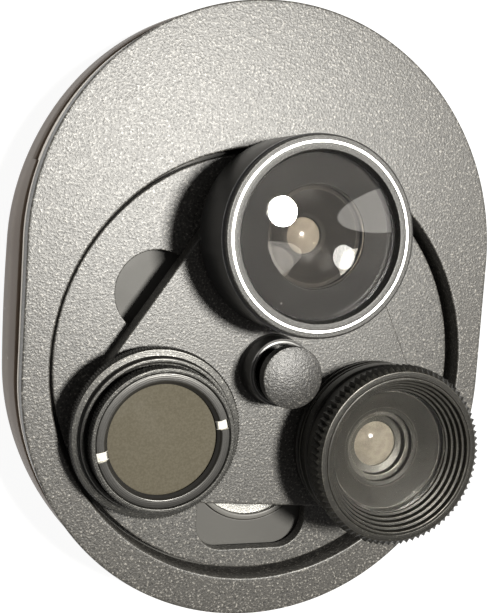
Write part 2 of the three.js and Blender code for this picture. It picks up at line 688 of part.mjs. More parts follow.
/** Circular polariser: fixed base and a turning ring that holds the polarising glass. */
function polariserLens() {
  const baseTopZ = frontFaceZ + polariserBaseTop;
  const frontZ = frontFaceZ + polariserFront;
  const bossTopZ = baseTopZ + polariserBossHeight;
  const tailRadius = polariserRingRadius - polariserTail.inset;
  const tailZ = baseTopZ - polariserTail.depth;
  const bore = tailRadius + gap;
  const spigotBore = spigotRadius - polariserSpigotWall;
  const base = revolve(
    [[spigotBore, spigotLowZ], [spigotRadius, spigotLowZ], [spigotRadius, seatZ], [polariserBaseRadius, seatZ],
      [polariserBaseRadius, baseTopZ], [polariserBossRadius, baseTopZ], [polariserBossRadius, bossTopZ],
      [bore, bossTopZ], [bore, tailZ - gap], [spigotBore, tailZ - gap]],
    largeSides,
  );
  const glassLowZ = bossTopZ + gap + gap;
  const turningRing = revolve(
    [[polariserOpening, tailZ], [tailRadius, tailZ], [tailRadius, bossTopZ + gap],
      [polariserRingRadius, bossTopZ + gap], [polariserRingRadius, frontZ], [polariserSeat, frontZ],
      [polariserSeat, glassLowZ - gap], [polariserOpening, glassLowZ - gap]],
    largeSides,
  );
  const pane = ring(polariserSeat - gap, 0, glassLowZ, glassLowZ + polariserGlass, middleSides);
  const retainerLowZ = glassLowZ + polariserGlass + gap;
  const retainerTopZ = retainerLowZ + polariserRetainerHeight;
  const notch = slab(
    -polariserNotch / 2, polariserNotch / 2, (retainerLowZ + retainerTopZ) / 2, frontZ,
  ).rotate([0, 0, polariserNotchTurn]);
  const retainer = revolve(
    [[polariserOpening, retainerLowZ], [polariserSeat - gap, retainerLowZ], [polariserSeat - gap, retainerTopZ],
      [polariserRetainerLip, retainerTopZ]],
    middleSides,
  ).subtract(notch);
  return [
    part("polariser_base", base, "blackMetal"),
    part("polariser_turning_ring", turningRing, "blackMetal"),
    part("polariser_glass", pane, "polarisingGlass"),
    part("polariser_retaining_ring", retainer, "blackMetal"),
  ];
}

/** Wide-angle lens screwed on a macro base. */
function wideLens() {
  const macroTopZ = frontFaceZ + macroTop;
  const frontZ = frontFaceZ + wideFront;
  const lowZ = frontFaceZ + wideSeat;
  const macroBore = macroGlassRadius + gap;
  const glassSeatZ = seatZ + gap;
  const macroBase = revolve(
    [[macroOpening, spigotLowZ], [spigotRadius, spigotLowZ], [spigotRadius, seatZ], [wideRadius, seatZ],
      [wideRadius, lowZ - gap], [macroRadius, lowZ - gap], [macroRadius, macroTopZ], [macroBore, macroTopZ],
      [macroBore, seatZ], [macroOpening, seatZ]],
    middleSides,
  );
  const macroPane = revolve(
    [[0, glassSeatZ], [macroGlassRadius, glassSeatZ],
      ...domePoints(macroGlassRadius, glassSeatZ + macroGlass.edge, macroGlass.dome, 4)],
    smallSides,
  );
  const stepsRadius = wideOpening + wideStepWidth * wideStepCount;
  const stepsDepth = wideStepHeight * wideStepCount;
  const ringRadius = stepsRadius + wideFrontRingWall;
  const barrelBore = ringRadius + gap;
  const floorZ = lowZ + wideFloor;
  const barrel = revolve(
    [[macroRadius + gap, lowZ], [wideRadius, lowZ], [wideRadius, frontZ], [barrelBore, frontZ],
      [barrelBore, floorZ], [macroRadius + gap, floorZ]],
    largeSides,
  );
  const steps = [];
  for (let i = 0; i < wideStepCount; i++) {
    const radius = stepsRadius - wideStepWidth * i;
    const z = frontZ - wideStepHeight * i;
    steps.push([radius, z], [radius, z - wideStepHeight]);
  }
  const glassRim = wideOpening - gap;
  const glassZ = frontZ - stepsDepth - wideGlass;
  const front = revolve(
    [[wideOpening, glassZ], [ringRadius, glassZ], [ringRadius, frontZ], ...steps,
      [wideOpening, frontZ - stepsDepth]],
    largeSides,
  );
  const frontGlass = revolve(
    [[0, glassZ], [glassRim, glassZ], ...domePoints(glassRim, glassZ + wideGlass - wideDome / 2, wideDome, 5)],
    middleSides,
  );
  const coneTopZ = glassZ - gap;
  const coneLowZ = macroTopZ + gap;
  const cone = revolve(
    [[wideThroat, coneLowZ], [macroRadius, coneLowZ], [macroRadius, floorZ + gap],
      [barrelBore - gap, floorZ + gap], [barrelBore - gap, coneTopZ], [glassRim - wideCone.lip, coneTopZ],
      [wideThroat, coneLowZ + wideCone.foot]],
    middleSides,
  );
  return [
    part("macro_base", macroBase, "blackMetal"),
    part("macro_glass", macroPane, "glass"),
    part("wide_barrel", barrel, "blackMetal"),
    part("wide_front_ring", front, "blackMetal"),
    part("wide_front_glass", frontGlass, "glass"),
    part("wide_inner_cone", cone, "blackPlastic"),
  ];
}

// ---------------------------------------------------------------- assembly

const housing = assembly([
  part("rear_shell", rearShell(), "shellPlastic"),
  part("rim_strip", rimStrip(), "creamPlastic"),
  part("front_cover", frontCover(), "sparkPlastic"),
  part("inner_deck", innerDeck(), "deckPlastic"),
  part("pivot_post", pivotPost(), "steel"),
  part("wave_washer", turretWasher(waveWasherZ), "steel"),
  viewingWindow(),
  ...screws.map((screw) => assembly([part(screw.name, rearScrew(screw.topZ), "steel")], { x: screw.x, y: screw.y })),
]);

const knob = assembly([
  part("knob_cap", knobCap(), "sparkPlastic"),
  part("knob_stem", knobStem(), "steel"),
  part("knob_spring", knobSpring(), "steel"),
  part("stem_clip", stemClip(), "steel"),
]);

const carrier = assembly(
  [
    part("lens_carrier", lensCarrier(), "sparkPlastic"),
    part("friction_washer", turretWasher(frictionWasherZ), "washerPlastic"),
    part("knob_collar", knobCollar(), "sparkPlastic"),
    assembly(fisheyeLens(), polar(lensCircle, 90)),
    assembly(polariserLens(), polar(lensCircle, 210)),
    assembly(wideLens(), polar(lensCircle, 330)),
  ],
  { turn: carrierTurn },
);

const turret = new THREE.Group();
turret.add(housing, part("window_disc", windowDisc(), "sparkPlastic"), carrier, knob);

export default turret;
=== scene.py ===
"""Looks of a rotary lens turret: housing, window disc, lens carrier, push knob and three lenses.

Shapes are worked out in millimetres in the frame's own axes and put into the meshes in metres.
"""
import logging
import math
from abc import ABC, abstractmethod
from dataclasses import dataclass, field
from enum import Enum
from typing import Sequence

import bmesh
import bpy
import numpy as np
from mathutils import Matrix, Vector
from mathutils.geometry import tessellate_polygon


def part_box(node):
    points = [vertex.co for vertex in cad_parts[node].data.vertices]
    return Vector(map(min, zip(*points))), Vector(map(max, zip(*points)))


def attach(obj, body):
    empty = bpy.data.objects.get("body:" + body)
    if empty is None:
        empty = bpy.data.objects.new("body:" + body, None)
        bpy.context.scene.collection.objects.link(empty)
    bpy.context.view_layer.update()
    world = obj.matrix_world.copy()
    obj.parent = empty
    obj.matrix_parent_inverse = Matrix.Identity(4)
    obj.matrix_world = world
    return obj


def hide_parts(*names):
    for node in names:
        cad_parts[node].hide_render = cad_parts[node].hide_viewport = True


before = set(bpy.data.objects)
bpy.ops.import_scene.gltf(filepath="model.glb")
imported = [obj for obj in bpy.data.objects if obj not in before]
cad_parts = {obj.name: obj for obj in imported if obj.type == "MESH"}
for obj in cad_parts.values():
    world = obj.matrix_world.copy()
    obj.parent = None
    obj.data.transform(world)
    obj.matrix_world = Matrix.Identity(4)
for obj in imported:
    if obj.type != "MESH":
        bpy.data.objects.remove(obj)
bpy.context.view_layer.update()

MM = 0.001
SUPPORT = 0.06  # width of the flat loop beside each rounded edge, which keeps large flat faces flat
log = logging.getLogger("turret")


# ---------------------------------------------------------------- names

class Body(Enum):
    """The bodies of the frame that pieces ride on."""

    HOUSING = "housing"
    DISC = "disc"
    CARRIER = "carrier"
    POLARISER_RING = "polariser_ring"
    KNOB = "knob"


class Slot(Enum):
    """The record's material slots."""

    SPARK_PLASTIC = "spark_plastic"
    BLACK_PLASTIC = "black_plastic"
    DECK = "deck"
    REAR_SHELL = "rear_shell"
    RIM_STRIP = "rim_strip"
    BLACK_METAL = "black_metal"
    SILVER_LINE = "silver_line"
    STEEL = "steel"
    LENS_GLASS = "lens_glass"
    VIEWING_GLASS = "viewing_glass"
    POLARISING_GLASS = "polarising_glass"


# ---------------------------------------------------------------- outlines and profiles

class Outline(ABC):
    """A closed flat curve that can be asked for its parallel curves."""

    @abstractmethod
    def at(self, offset: np.ndarray, swell: np.ndarray) -> np.ndarray:
        """The curve's parallels.

        Args:
            offset: Distance of each parallel from the curve, outwards, as an (R, 1) array.
            swell: Extra bow of the curve's long sides for each parallel, as an (R, 1) array.

        Returns:
            Points as an (R, C, 2) array, matched from one parallel to the next.
        """


@dataclass(frozen=True)
class Circle(Outline):
    """A circle about (x, y)."""

    x: float
    y: float
    radius: float
    sides: int = 160

    def at(self, offset: np.ndarray, swell: np.ndarray) -> np.ndarray:
        """Centre plus (radius + offset) times (cos a, sin a), a running once round."""
        angle = np.linspace(0, 2 * np.pi, self.sides, endpoint=False)
        reach = self.radius + offset
        return np.stack([self.x + reach * np.cos(angle), self.y + reach * np.sin(angle)], -1)


@dataclass(frozen=True)
class Oblong(Outline):
    """Two round ends of one radius about (0, upper_y) and (0, lower_y), joined by straight sides."""

    radius: float
    upper_y: float
    lower_y: float
    step_angle: float
    arc_steps: int = 120
    side_steps: int = 24
    bow_reach: float = 0.6

    def angles(self) -> np.ndarray:
        """Angles of the upper end's points, with a close pair at each place where an edge may step."""
        step = math.radians(self.step_angle)
        near = np.array([-0.002, 0.002])
        even = np.linspace(0, np.pi, self.arc_steps + 1)
        return np.unique(np.concatenate([even, step + near, np.pi - step + near]))

    def upper_mask(self) -> np.ndarray:
        """1 for the outline's points round the upper end, past the steps, and 0 for the others."""
        step = math.radians(self.step_angle)
        upper = self.angles()
        inside = ((upper > step) & (upper < np.pi - step)).astype(float)
        others = 2 * (self.side_steps - 1) + self.arc_steps + 1
        return np.concatenate([inside, np.zeros(others)])

    def at(self, offset: np.ndarray, swell: np.ndarray) -> np.ndarray:
        """Each end is its centre plus (radius + offset) times (cos a, sin a), and the sides are straight
        lines between the ends. The bow adds swell times a raised cosine of y, away from the long axis."""
        reach = self.radius + offset
        upper = self.angles()
        lower = np.linspace(np.pi, 2 * np.pi, self.arc_steps + 1)
        drop = np.linspace(self.upper_y, self.lower_y, self.side_steps + 1)[1:-1]
        one = np.ones_like(reach)
        x = np.concatenate([reach * np.cos(upper), -reach * np.ones_like(drop), reach * np.cos(lower),
                            reach * np.ones_like(drop)], 1)
        y = np.concatenate([self.upper_y + reach * np.sin(upper), one * drop,
                            self.lower_y + reach * np.sin(lower), one * drop[::-1]], 1)
        middle = (self.upper_y + self.lower_y) / 2
        span = (self.upper_y - self.lower_y) / 2 + self.radius * self.bow_reach
        share = np.clip((y - middle) / span, -1, 1)
        side = np.clip(x / (self.radius / 2), -1, 1)
        return np.stack([x + swell * (1 + np.cos(np.pi * share)) / 2 * side, y], -1)


@dataclass(frozen=True)
class RoundedSquare(Outline):
    """A square with round corners about (x, y), turned by some degrees."""

    x: float
    y: float
    side: float
    corner: float
    turn: float
    steps: int = 16

    def at(self, offset: np.ndarray, swell: np.ndarray) -> np.ndarray:
        """Four quarter circles of radius corner + offset about the corners' centres."""
        reach = self.side / 2 - self.corner
        quarter = np.linspace(0, np.pi / 2, self.steps + 1)
        angle = (np.arange(4)[:, None] * np.pi / 2 + quarter).ravel()
        base = np.repeat(np.arange(4) * np.pi / 2 + np.pi / 4, self.steps + 1)
        radius = self.corner + offset
        x = reach * math.sqrt(2) * np.cos(base) + radius * np.cos(angle)
        y = reach * math.sqrt(2) * np.sin(base) + radius * np.sin(angle)
        c, s = math.cos(math.radians(self.turn)), math.sin(math.radians(self.turn))
        return np.stack([self.x + c * x - s * y, self.y + s * x + c * y], -1)


@dataclass(frozen=True)
class RoundedTriangle(Outline):
    """Three round corners about points at one distance from the origin, joined by straight sides."""

    reach: float
    corner: float
    turn: float
    steps: int = 40
    side_steps: int = 10

    def at(self, offset: np.ndarray, swell: np.ndarray) -> np.ndarray:
        """Each corner is a third of a circle of radius corner + offset. Points on the straight sides lie
        evenly between one corner's last point and the next corner's first point."""
        middle = np.radians(self.turn + 120 * np.arange(3))
        angle = middle[:, None] + np.linspace(-np.pi / 3, np.pi / 3, self.steps + 1)
        radius = (self.corner + offset)[:, :, None]
        x = self.reach * np.cos(middle)[:, None] + radius * np.cos(angle)
        y = self.reach * np.sin(middle)[:, None] + radius * np.sin(angle)
        arcs = np.stack([x, y], -1)
        share = (np.arange(1, self.side_steps) / self.side_steps)[:, None]
        last, first = arcs[:, :, -1:], np.roll(arcs, -1, 1)[:, :, :1]
        sides = last + (first - last) * share
        return np.concatenate([arcs, sides], 2).reshape(len(offset), -1, 2)


@dataclass(frozen=True)
class Cross(Outline):
    """A driver's cross recess about (x, y)."""

    x: float
    y: float
    length: float
    width: float
    sides: int = 96

    def at(self, offset: np.ndarray, swell: np.ndarray) -> np.ndarray:
        """At each angle, the further of the two bars' edges: the nearer of the bar's end and its side."""
        angle = np.linspace(0, 2 * np.pi, self.sides, endpoint=False) + 0.01
        c, s = np.abs(np.cos(angle)), np.abs(np.sin(angle))
        long, short = self.length / 2 + offset, self.width / 2 + offset
        radius = np.maximum(np.minimum(long / c, short / s), np.minimum(short / c, long / s))
        return np.stack([self.x + radius * np.cos(angle), self.y + radius * np.sin(angle)], -1)


def rounded(corners: Sequence[Sequence[float]], steps: int = 4,
            closed: bool = False) -> tuple[np.ndarray, np.ndarray]:
    """Rounds a profile's corners.

    Each corner becomes the curve (1-t)^2 A + 2t(1-t) P + t^2 B, where P is the corner and A and B lie on its
    two sides at the corner's own rounding distance, or at most just under half of a side.

    Args:
        corners: Each corner's coordinates, then its rounding. The solid lies to the left of the profile.
        steps: Segments of each rounded corner.
        closed: Whether the last corner joins the first.

    Returns:
        The points, and for each a value that rises to 1 at the middle of an outer corner, for edge wear.
    """
    table = np.array(corners, float)
    point, fillet = table[:, :-1], table[:, -1].copy()
    if not closed:
        fillet[[0, -1]] = 0
    before, after = np.roll(point, 1, 0) - point, np.roll(point, -1, 0) - point
    long_before = np.linalg.norm(before, axis=1, keepdims=True)
    long_after = np.linalg.norm(after, axis=1, keepdims=True)
    reach = np.minimum(fillet[:, None], 0.48 * np.minimum(long_before, long_after))
    start, finish = point + before / long_before * reach, point + after / long_after * reach
    t = np.linspace(0, 1, steps + 1)[None, :, None]
    curve = (1 - t) ** 2 * start[:, None] + 2 * t * (1 - t) * point[:, None] + t**2 * finish[:, None]
    convex = (before[:, 1] * after[:, 0] - before[:, 0] * after[:, 1]) > 0
    edge = np.where(((fillet > 0) & convex)[:, None], (4 * t * (1 - t))[..., 0], 0.0)
    flat, edge = curve.reshape(-1, point.shape[1]), edge.ravel()
    fresh = np.ones(len(flat), bool)
    fresh[1:] = np.linalg.norm(np.diff(flat, axis=0), axis=1) > 1e-6
    return flat[fresh], edge[fresh]


def dome(radius: float, rim_z: float, height: float, count: int = 24) -> list[tuple[float, float, float]]:
    """A lens surface's half section from its rim to the axis: a circle's arc through rim and apex.

    Args:
        radius: Radius of the rim.
        rim_z: Height of the rim.
        height: Rise from the rim to the apex, negative for a hollow surface.
        count: Segments.

    Returns:
        Corners for rounded(), from the rim inwards, with no rounding.
    """
    sphere = (radius**2 + height**2) / (2 * height)
    r = radius * np.linspace(1, 0, count + 1)
    z = rim_z + height - sphere + np.sign(sphere) * np.sqrt(sphere**2 - r**2)
    return [(float(a), float(b), 0.0) for a, b in zip(r, z)]


@dataclass(frozen=True)
class Teeth:
    """Pointed teeth round a turned piece, between two heights and outside a radius."""

    count: int
    depth: float
    low: float
    high: float
    inside: float
    per_tooth: int = 4

    def sides(self) -> int:
        """Sides that put whole facets in each tooth."""
        return self.count * self.per_tooth

    def cut(self, radius: np.ndarray, z: np.ndarray, angle: np.ndarray) -> np.ndarray:
        """How far each point moves in: depth times a triangle wave of the angle, 0 at the teeth's tips."""
        share = (angle * self.count / (2 * np.pi)) % 1
        valley = np.abs(2 * share - 1)
        rows = (z >= self.low) & (z <= self.high) & (radius > self.inside)
        return -self.depth * valley[None, :] * rows[:, None]


# ---------------------------------------------------------------- skins

class Skin:
    """Collects swept walls and flat faces of one closed body, and makes the finished piece of them."""

    def __init__(self, name: str) -> None:
        """Starts an empty skin for the piece of that name."""
        self.name = name
        self.points: list[np.ndarray] = []
        self.edges: list[np.ndarray] = []
        self.faces: list[tuple[int, ...]] = []
        self.count = 0

    def _add(self, points: np.ndarray, edge: np.ndarray) -> int:
        """Adds points in millimetres and their edge values, and returns the first one's number."""
        first = self.count
        self.points.append(points.reshape(-1, 3))
        self.edges.append(edge.ravel())
        self.count += points.size // 3
        return first

    def grid(self, points: np.ndarray, edge: np.ndarray, closed: bool = False) -> "Skin":
        """Adds an (R, C, 3) grid whose columns close on themselves.

        Args:
            points: The grid, in millimetres.
            edge: Edge value of each row, or of each point.
            closed: Whether the last row joins the first.
        """
        rows, columns = points.shape[:2]
        first = self._add(points, np.broadcast_to(edge.reshape(rows, -1), (rows, columns)))
        low = np.arange(rows * columns).reshape(rows, columns) + first
        high = np.roll(low, -1, 0)
        if not closed:
            low, high = low[:-1], high[:-1]
        quads = np.stack([low, np.roll(low, -1, 1), np.roll(high, -1, 1), high], -1)
        self.faces.extend(map(tuple, quads.reshape(-1, 4).tolist()))
        return self

    def sweep(self, outline: Outline, corners: Sequence[Sequence[float]], steps: int = 4,
              closed: bool = False) -> np.ndarray:
        """Points of a profile of (offset, height, rounding) carried round an outline.

        Args:
            outline: The curve it follows.
            corners: (offset, z, rounding) or (offset, z, swell, rounding), as rounded() takes them.
            steps: Segments of each rounded corner.
            closed: Whether the profile closes on itself.

        Returns:
            The (R, C, 3) grid that was added.
        """
        profile, edge = rounded(corners, steps, closed)
        offset = profile[:, :1]
        swell = profile[:, 2:3] if profile.shape[1] > 2 else np.zeros_like(offset)
        flat = outline.at(offset, swell)
        z = np.broadcast_to(profile[:, 1:2], flat.shape[:2])
        points = np.concatenate([flat, z[..., None]], -1)
        self.grid(points, edge, closed)
        return points

    def lathe(self, centre: tuple[float, float], corners: Sequence[Sequence[float]], sides: int = 160,
              steps: int = 4, closed: bool = True, teeth: Teeth | None = None) -> "Skin":
        """Turns a profile of (radius, height, rounding) about an axis: centre + radius times (cos a, sin a).

        Args:
            centre: Where the axis stands.
            corners: The profile, with the solid to its left.
            sides: Segments round the axis.
            steps: Segments of each rounded corner.
            closed: Whether the profile closes on itself, as it does on a ring.
            teeth: Teeth to cut, if any.
        """
        profile, edge = rounded(corners, steps, closed)
        sides = teeth.sides() if teeth else sides
        angle = np.linspace(0, 2 * np.pi, sides, endpoint=False)
        radius = np.repeat(profile[:, :1], sides, 1)
        if teeth:
            radius = radius + teeth.cut(profile[:, 0], profile[:, 1], angle)
        z = np.repeat(profile[:, 1:2], sides, 1)
        points = np.stack([centre[0] + radius * np.cos(angle), centre[1] + radius * np.sin(angle), z], -1)
        return self.grid(points, edge, closed)

    def lens(self, centre: tuple[float, float], radius: float, low: float, rim: float, rise: float,
             count: int, sides: int, corner: float = 0.05) -> "Skin":
        """Turns a lens with a flat rear face and a domed or hollow front face.

        Args:
            centre: Where the axis stands.
            radius: Radius of the rim.
            low: Height of the rear face.
            rim: Height of the front face's rim.
            rise: Rise of the front face from rim to apex, negative for a hollow one.
            count: Segments of the front face, from rim to axis.
            sides: Segments round the axis.
            corner: Rounding of the rear edge.
        """
        return self.lathe(centre, [(0, low, 0), (radius, low, corner), *dome(radius, rim, rise, count)],
                          sides, 2, closed=False)

    def meniscus(self, centre: tuple[float, float], radius: float, low: float, high: float, rise: float,
                 count: int, sides: int) -> "Skin":
        """Turns a pane whose two faces are parallel domes, their rims at low and high."""
        return self.lathe(centre, [*dome(radius, low, rise, count)[::-1], *dome(radius, high, rise, count)],
                          sides, 2, closed=False)

    def cap(self, *borders: np.ndarray) -> "Skin":
        """Closes a flat face between an outer border and the borders of its holes, each a (C, 3) array."""
        first = self._add(np.concatenate(borders), np.zeros(sum(map(len, borders))))
        triangles = tessellate_polygon([[Vector(p) for p in border] for border in borders])
        self.faces.extend(tuple(first + i for i in triangle) for triangle in triangles)
        return self

    def plate(self, outer: np.ndarray, holes: Sequence[np.ndarray]) -> "Skin":
        """Closes the two faces of a plate from its outer wall, swept upwards, and its holes, swept down."""
        return self.cap(outer[-1], *[rows[0] for rows in holes]).cap(outer[0], *[rows[-1] for rows in holes])

    def hub(self, bore: float, room: float, z0: float, z1: float, depth: float) -> np.ndarray:
        """A plate's middle hole, with a wider pocket below for a washer.

        Args:
            bore: Radius of the hole.
            room: How much wider the pocket is.
            z0: Height of the plate's underside.
            z1: Height of its top.
            depth: Depth of the pocket.

        Returns:
            The rows of the hole's wall, from the top down.
        """
        return self.sweep(Circle(0, 0, bore, 96), [
            (0.1 + SUPPORT, z1, 0), (0, z1, 0.1), (0, z0 + depth, 0), (room, z0 + depth, 0),
            (room, z0, 0.05), (room + 0.1, z0, 0)])

    def build(self, body: Body, slot: Slot, material: bpy.types.Material, *nodes: str) -> bpy.types.Object:
        """Makes the mesh object and gives it its body and material.

        Args:
            body: The body it rides on.
            slot: The record's material slot; not used.
            material: Its finish.
            nodes: The CAD nodes that it stands for.

        Returns:
            The finished piece.
        """
        mesh = bpy.data.meshes.new(self.name)
        mesh.from_pydata((np.concatenate(self.points) * MM).tolist(), [], self.faces)
        mesh.attributes.new("edge", "FLOAT", "POINT").data.foreach_set("value", np.concatenate(self.edges))
        work = bmesh.new()
        work.from_mesh(mesh)
        bmesh.ops.remove_doubles(work, verts=work.verts, dist=1e-7)
        bmesh.ops.dissolve_degenerate(work, edges=work.edges, dist=1e-8)
        bmesh.ops.recalc_face_normals(work, faces=work.faces)
        work.to_mesh(mesh)
        work.free()
        corner_edge = np.zeros(len(mesh.loops), np.int32)
        mesh.loops.foreach_get("edge_index", corner_edge)
        open_edges = int((np.bincount(corner_edge, minlength=len(mesh.edges)) != 2).sum())
        mesh.shade_smooth()
        mesh.set_sharp_from_angle(angle=math.radians(30))
        piece = bpy.data.objects.new(self.name, mesh)
        bpy.context.scene.collection.objects.link(piece)
        mesh.materials.append(material)
        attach(piece, body.value)
        if nodes:
            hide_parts(*nodes)
        log.info("%s: %d faces, %d open edges, on %s", self.name, len(mesh.polygons), open_edges, body.value)
        return piece


@dataclass(frozen=True)
class Place:
    """Where a CAD node lies, in millimetres."""

    low: np.ndarray
    high: np.ndarray

    @classmethod
    def of(cls, node: str) -> "Place":
        """The place of the CAD node of that name."""
        low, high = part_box(node)
        return cls(np.array(low) / MM, np.array(high) / MM)

    @property
    def centre(self) -> tuple[float, float]:
        """The middle of its box, seen from the front."""
        middle = (self.low + self.high) / 2
        return float(middle[0]), float(middle[1])

    @property
    def radius(self) -> float:
        """Half its width."""
        return float(self.high[0] - self.low[0]) / 2

    @property
    def z0(self) -> float:
        """Its lowest height."""
        return float(self.low[2])

    @property
    def z1(self) -> float:
        """Its highest height."""
        return float(self.high[2])


# ---------------------------------------------------------------- shader groups

@dataclass
class Group:
    """A shader node group under construction."""

    name: str
    inputs: dict[str, tuple[str, float | tuple[float, ...]]]
    outputs: dict[str, str]
    tree: bpy.types.NodeTree = field(init=False)
    entry: bpy.types.Node = field(init=False)
    exit: bpy.types.Node = field(init=False)

    def __post_init__(self) -> None:
        """Makes the tree with its named inputs and outputs."""
        self.tree = bpy.data.node_groups.new(self.name, "ShaderNodeTree")
        for name, (kind, value) in self.inputs.items():
            socket = self.tree.interface.new_socket(name, in_out="INPUT", socket_type=f"NodeSocket{kind}")
            socket.default_value = value
        for name, kind in self.outputs.items():
            self.tree.interface.new_socket(name, in_out="OUTPUT", socket_type=f"NodeSocket{kind}")
        self.entry = self.tree.nodes.new("NodeGroupInput")
        self.exit = self.tree.nodes.new("NodeGroupOutput")

    def math(self, operation: str, *values: "float | bpy.types.NodeSocket",
             clamp: bool = False) -> bpy.types.NodeSocket:
        """A Math node's result, from numbers or sockets."""
        return math_node(self.tree, operation, *values, clamp=clamp)

    def take(self, name: str) -> bpy.types.NodeSocket:
        """The group's input of that name."""
        return self.entry.outputs[name]

    def give(self, name: str, socket: bpy.types.NodeSocket) -> None:
        """Sends a socket to the group's output of that name."""
        self.tree.links.new(socket, self.exit.inputs[name])


def math_node(tree: bpy.types.NodeTree, operation: str, *values: "float | bpy.types.NodeSocket",
              clamp: bool = False) -> bpy.types.NodeSocket:
    """A Math node in any tree.

    Args:
        tree: The node tree.
        operation: The node's operation.
        values: Numbers or sockets for its inputs.
        clamp: Whether to keep the result between 0 and 1.

    Returns:
        The result's socket.
    """
    node = tree.nodes.new("ShaderNodeMath")
    node.operation, node.use_clamp = operation, clamp
    for socket, value in zip(node.inputs, values):
        if isinstance(value, (int, float)):
            socket.default_value = value
        else:
            tree.links.new(value, socket)
    return node.outputs[0]


def noise_node(tree: bpy.types.NodeTree, vector: bpy.types.NodeSocket, scale: "float | bpy.types.NodeSocket",
               detail: float = 2.0, roughness: float = 0.5) -> bpy.types.NodeSocket:
    """A Noise Texture's value; the scale is in grains per metre."""
    node = tree.nodes.new("ShaderNodeTexNoise")
    node.inputs["Detail"].default_value = detail
    node.inputs["Roughness"].default_value = roughness
    tree.links.new(vector, node.inputs["Vector"])
    if isinstance(scale, (int, float)):
        node.inputs["Scale"].default_value = scale
    else:
        tree.links.new(scale, node.inputs["Scale"])
    return node.outputs[0]


def ramp(tree: bpy.types.NodeTree, value: bpy.types.NodeSocket, low: float, high: float,
         to_low: float = 0.0, to_high: float = 1.0) -> bpy.types.NodeSocket:
    """A Map Range node, clamped, with a smooth step between its ends."""
    node = tree.nodes.new("ShaderNodeMapRange")
    node.interpolation_type = "SMOOTHSTEP"
    for name, number in {"From Min": low, "From Max": high, "To Min": to_low, "To Max": to_high}.items():
        node.inputs[name].default_value = number
    tree.links.new(value, node.inputs["Value"])
    return node.outputs[0]


def spark_grain_and_glints_group() -> bpy.types.NodeTree:
    """Spark-eroded grain: rounded pits and crests of one size, with masks for painted glints on some crests
    and for painted shade in some pits.
    """
    group = Group("spark_grain", {"Vector": ("Vector", (0, 0, 0)), "Grains per metre": ("Float", 2600.0)},
                  {"Height": "Float", "Bright": "Float", "Painted pit shade": "Float"})
    tree, vector = group.tree, group.take("Vector")
    scale = group.take("Grains per metre")
    coarse = noise_node(tree, vector, scale, 1.5, 0.6)
    fine = noise_node(tree, vector, group.math("MULTIPLY", scale, 2.3), 2.0, 0.6)
    height = group.math("ADD", group.math("MULTIPLY", coarse, 0.65), group.math("MULTIPLY", fine, 0.35))
    group.give("Height", height)
    # Painted glint on the highest crests and painted shade in the deepest pits, as masks.
    group.give("Bright", ramp(tree, height, 0.54, 0.68))
    group.give("Painted pit shade", ramp(tree, height, 0.47, 0.34))
    return group.tree


def edge_wear_and_highlight_group() -> bpy.types.NodeTree:
    """Rubbed edges, and painted highlights where a piece marks them in its edge value: the mesh's own edge
    value, broken up by noise.
    """
    group = Group("edge_wear", {"Vector": ("Vector", (0, 0, 0)), "Amount": ("Float", 0.5)}, {"Mask": "Float"})
    tree = group.tree
    edge = tree.nodes.new("ShaderNodeAttribute")
    edge.attribute_name = "edge"
    broken = ramp(tree, noise_node(tree, group.take("Vector"), 700.0, 3.0, 0.6), 0.35, 0.62, 0.45, 1.0)
    mask = group.math("MULTIPLY", group.math("POWER", edge.outputs["Fac"], 1.6), broken)
    group.give("Mask", group.math("MULTIPLY", mask, group.take("Amount"), clamp=True))
    return tree


def turned_lines_group() -> bpy.types.NodeTree:
    """Fine lines left by a lathe: rings about a centre, a sine of the distance to it plus a slow noise."""
    group = Group("turned_lines",
                  {"Vector": ("Vector", (0, 0, 0)), "Centre": ("Vector", (0, 0, 0)),
                   "Lines per metre": ("Float", 9000.0)}, {"Height": "Float", "Mask": "Float"})
    tree = group.tree
    flat = tree.nodes.new("ShaderNodeVectorMath")
    flat.operation = "SUBTRACT"
    tree.links.new(group.take("Vector"), flat.inputs[0])
    tree.links.new(group.take("Centre"), flat.inputs[1])
    plane = tree.nodes.new("ShaderNodeVectorMath")
    plane.operation = "MULTIPLY"
    plane.inputs[1].default_value = (1, 1, 0)
    tree.links.new(flat.outputs[0], plane.inputs[0])
    length = tree.nodes.new("ShaderNodeVectorMath")
    length.operation = "LENGTH"
    tree.links.new(plane.outputs[0], length.inputs[0])
    count = group.math("MULTIPLY", length.outputs["Value"], group.take("Lines per metre"))
    drift = group.math("MULTIPLY", noise_node(tree, group.take("Vector"), 300.0), 3.0)
    wave = group.math("SINE", group.math("MULTIPLY", group.math("ADD", count, drift), 2 * math.pi))
    height = group.math("MULTIPLY", group.math("ADD", wave, 1.0), 0.5)
    group.give("Height", height)
    group.give("Mask", group.math("MULTIPLY", height, noise_node(tree, group.take("Vector"), 900.0)))
    return tree


def dust_group() -> bpy.types.NodeTree:
    """Settled dust: sparse pale specks and a faint cloudy film."""
    group = Group("dust", {"Vector": ("Vector", (0, 0, 0)), "Amount": ("Float", 0.3)},
                  {"Specks": "Float", "Film": "Float"})
    tree, vector = group.tree, group.take("Vector")
    cells = tree.nodes.new("ShaderNodeTexVoronoi")
    cells.inputs["Scale"].default_value = 420.0
    tree.links.new(vector, cells.inputs["Vector"])
    near = ramp(tree, cells.outputs["Distance"], 0.10, 0.05)
    sparse = group.math("GREATER_THAN", noise_node(tree, vector, 260.0, 1.0), 0.6)
    group.give("Specks", group.math("MULTIPLY", group.math("MULTIPLY", near, sparse), group.take("Amount")))
    group.give("Film", group.math("MULTIPLY", ramp(tree, noise_node(tree, vector, 90.0, 4.0), 0.4, 0.75),
                                  group.take("Amount")))
    return tree


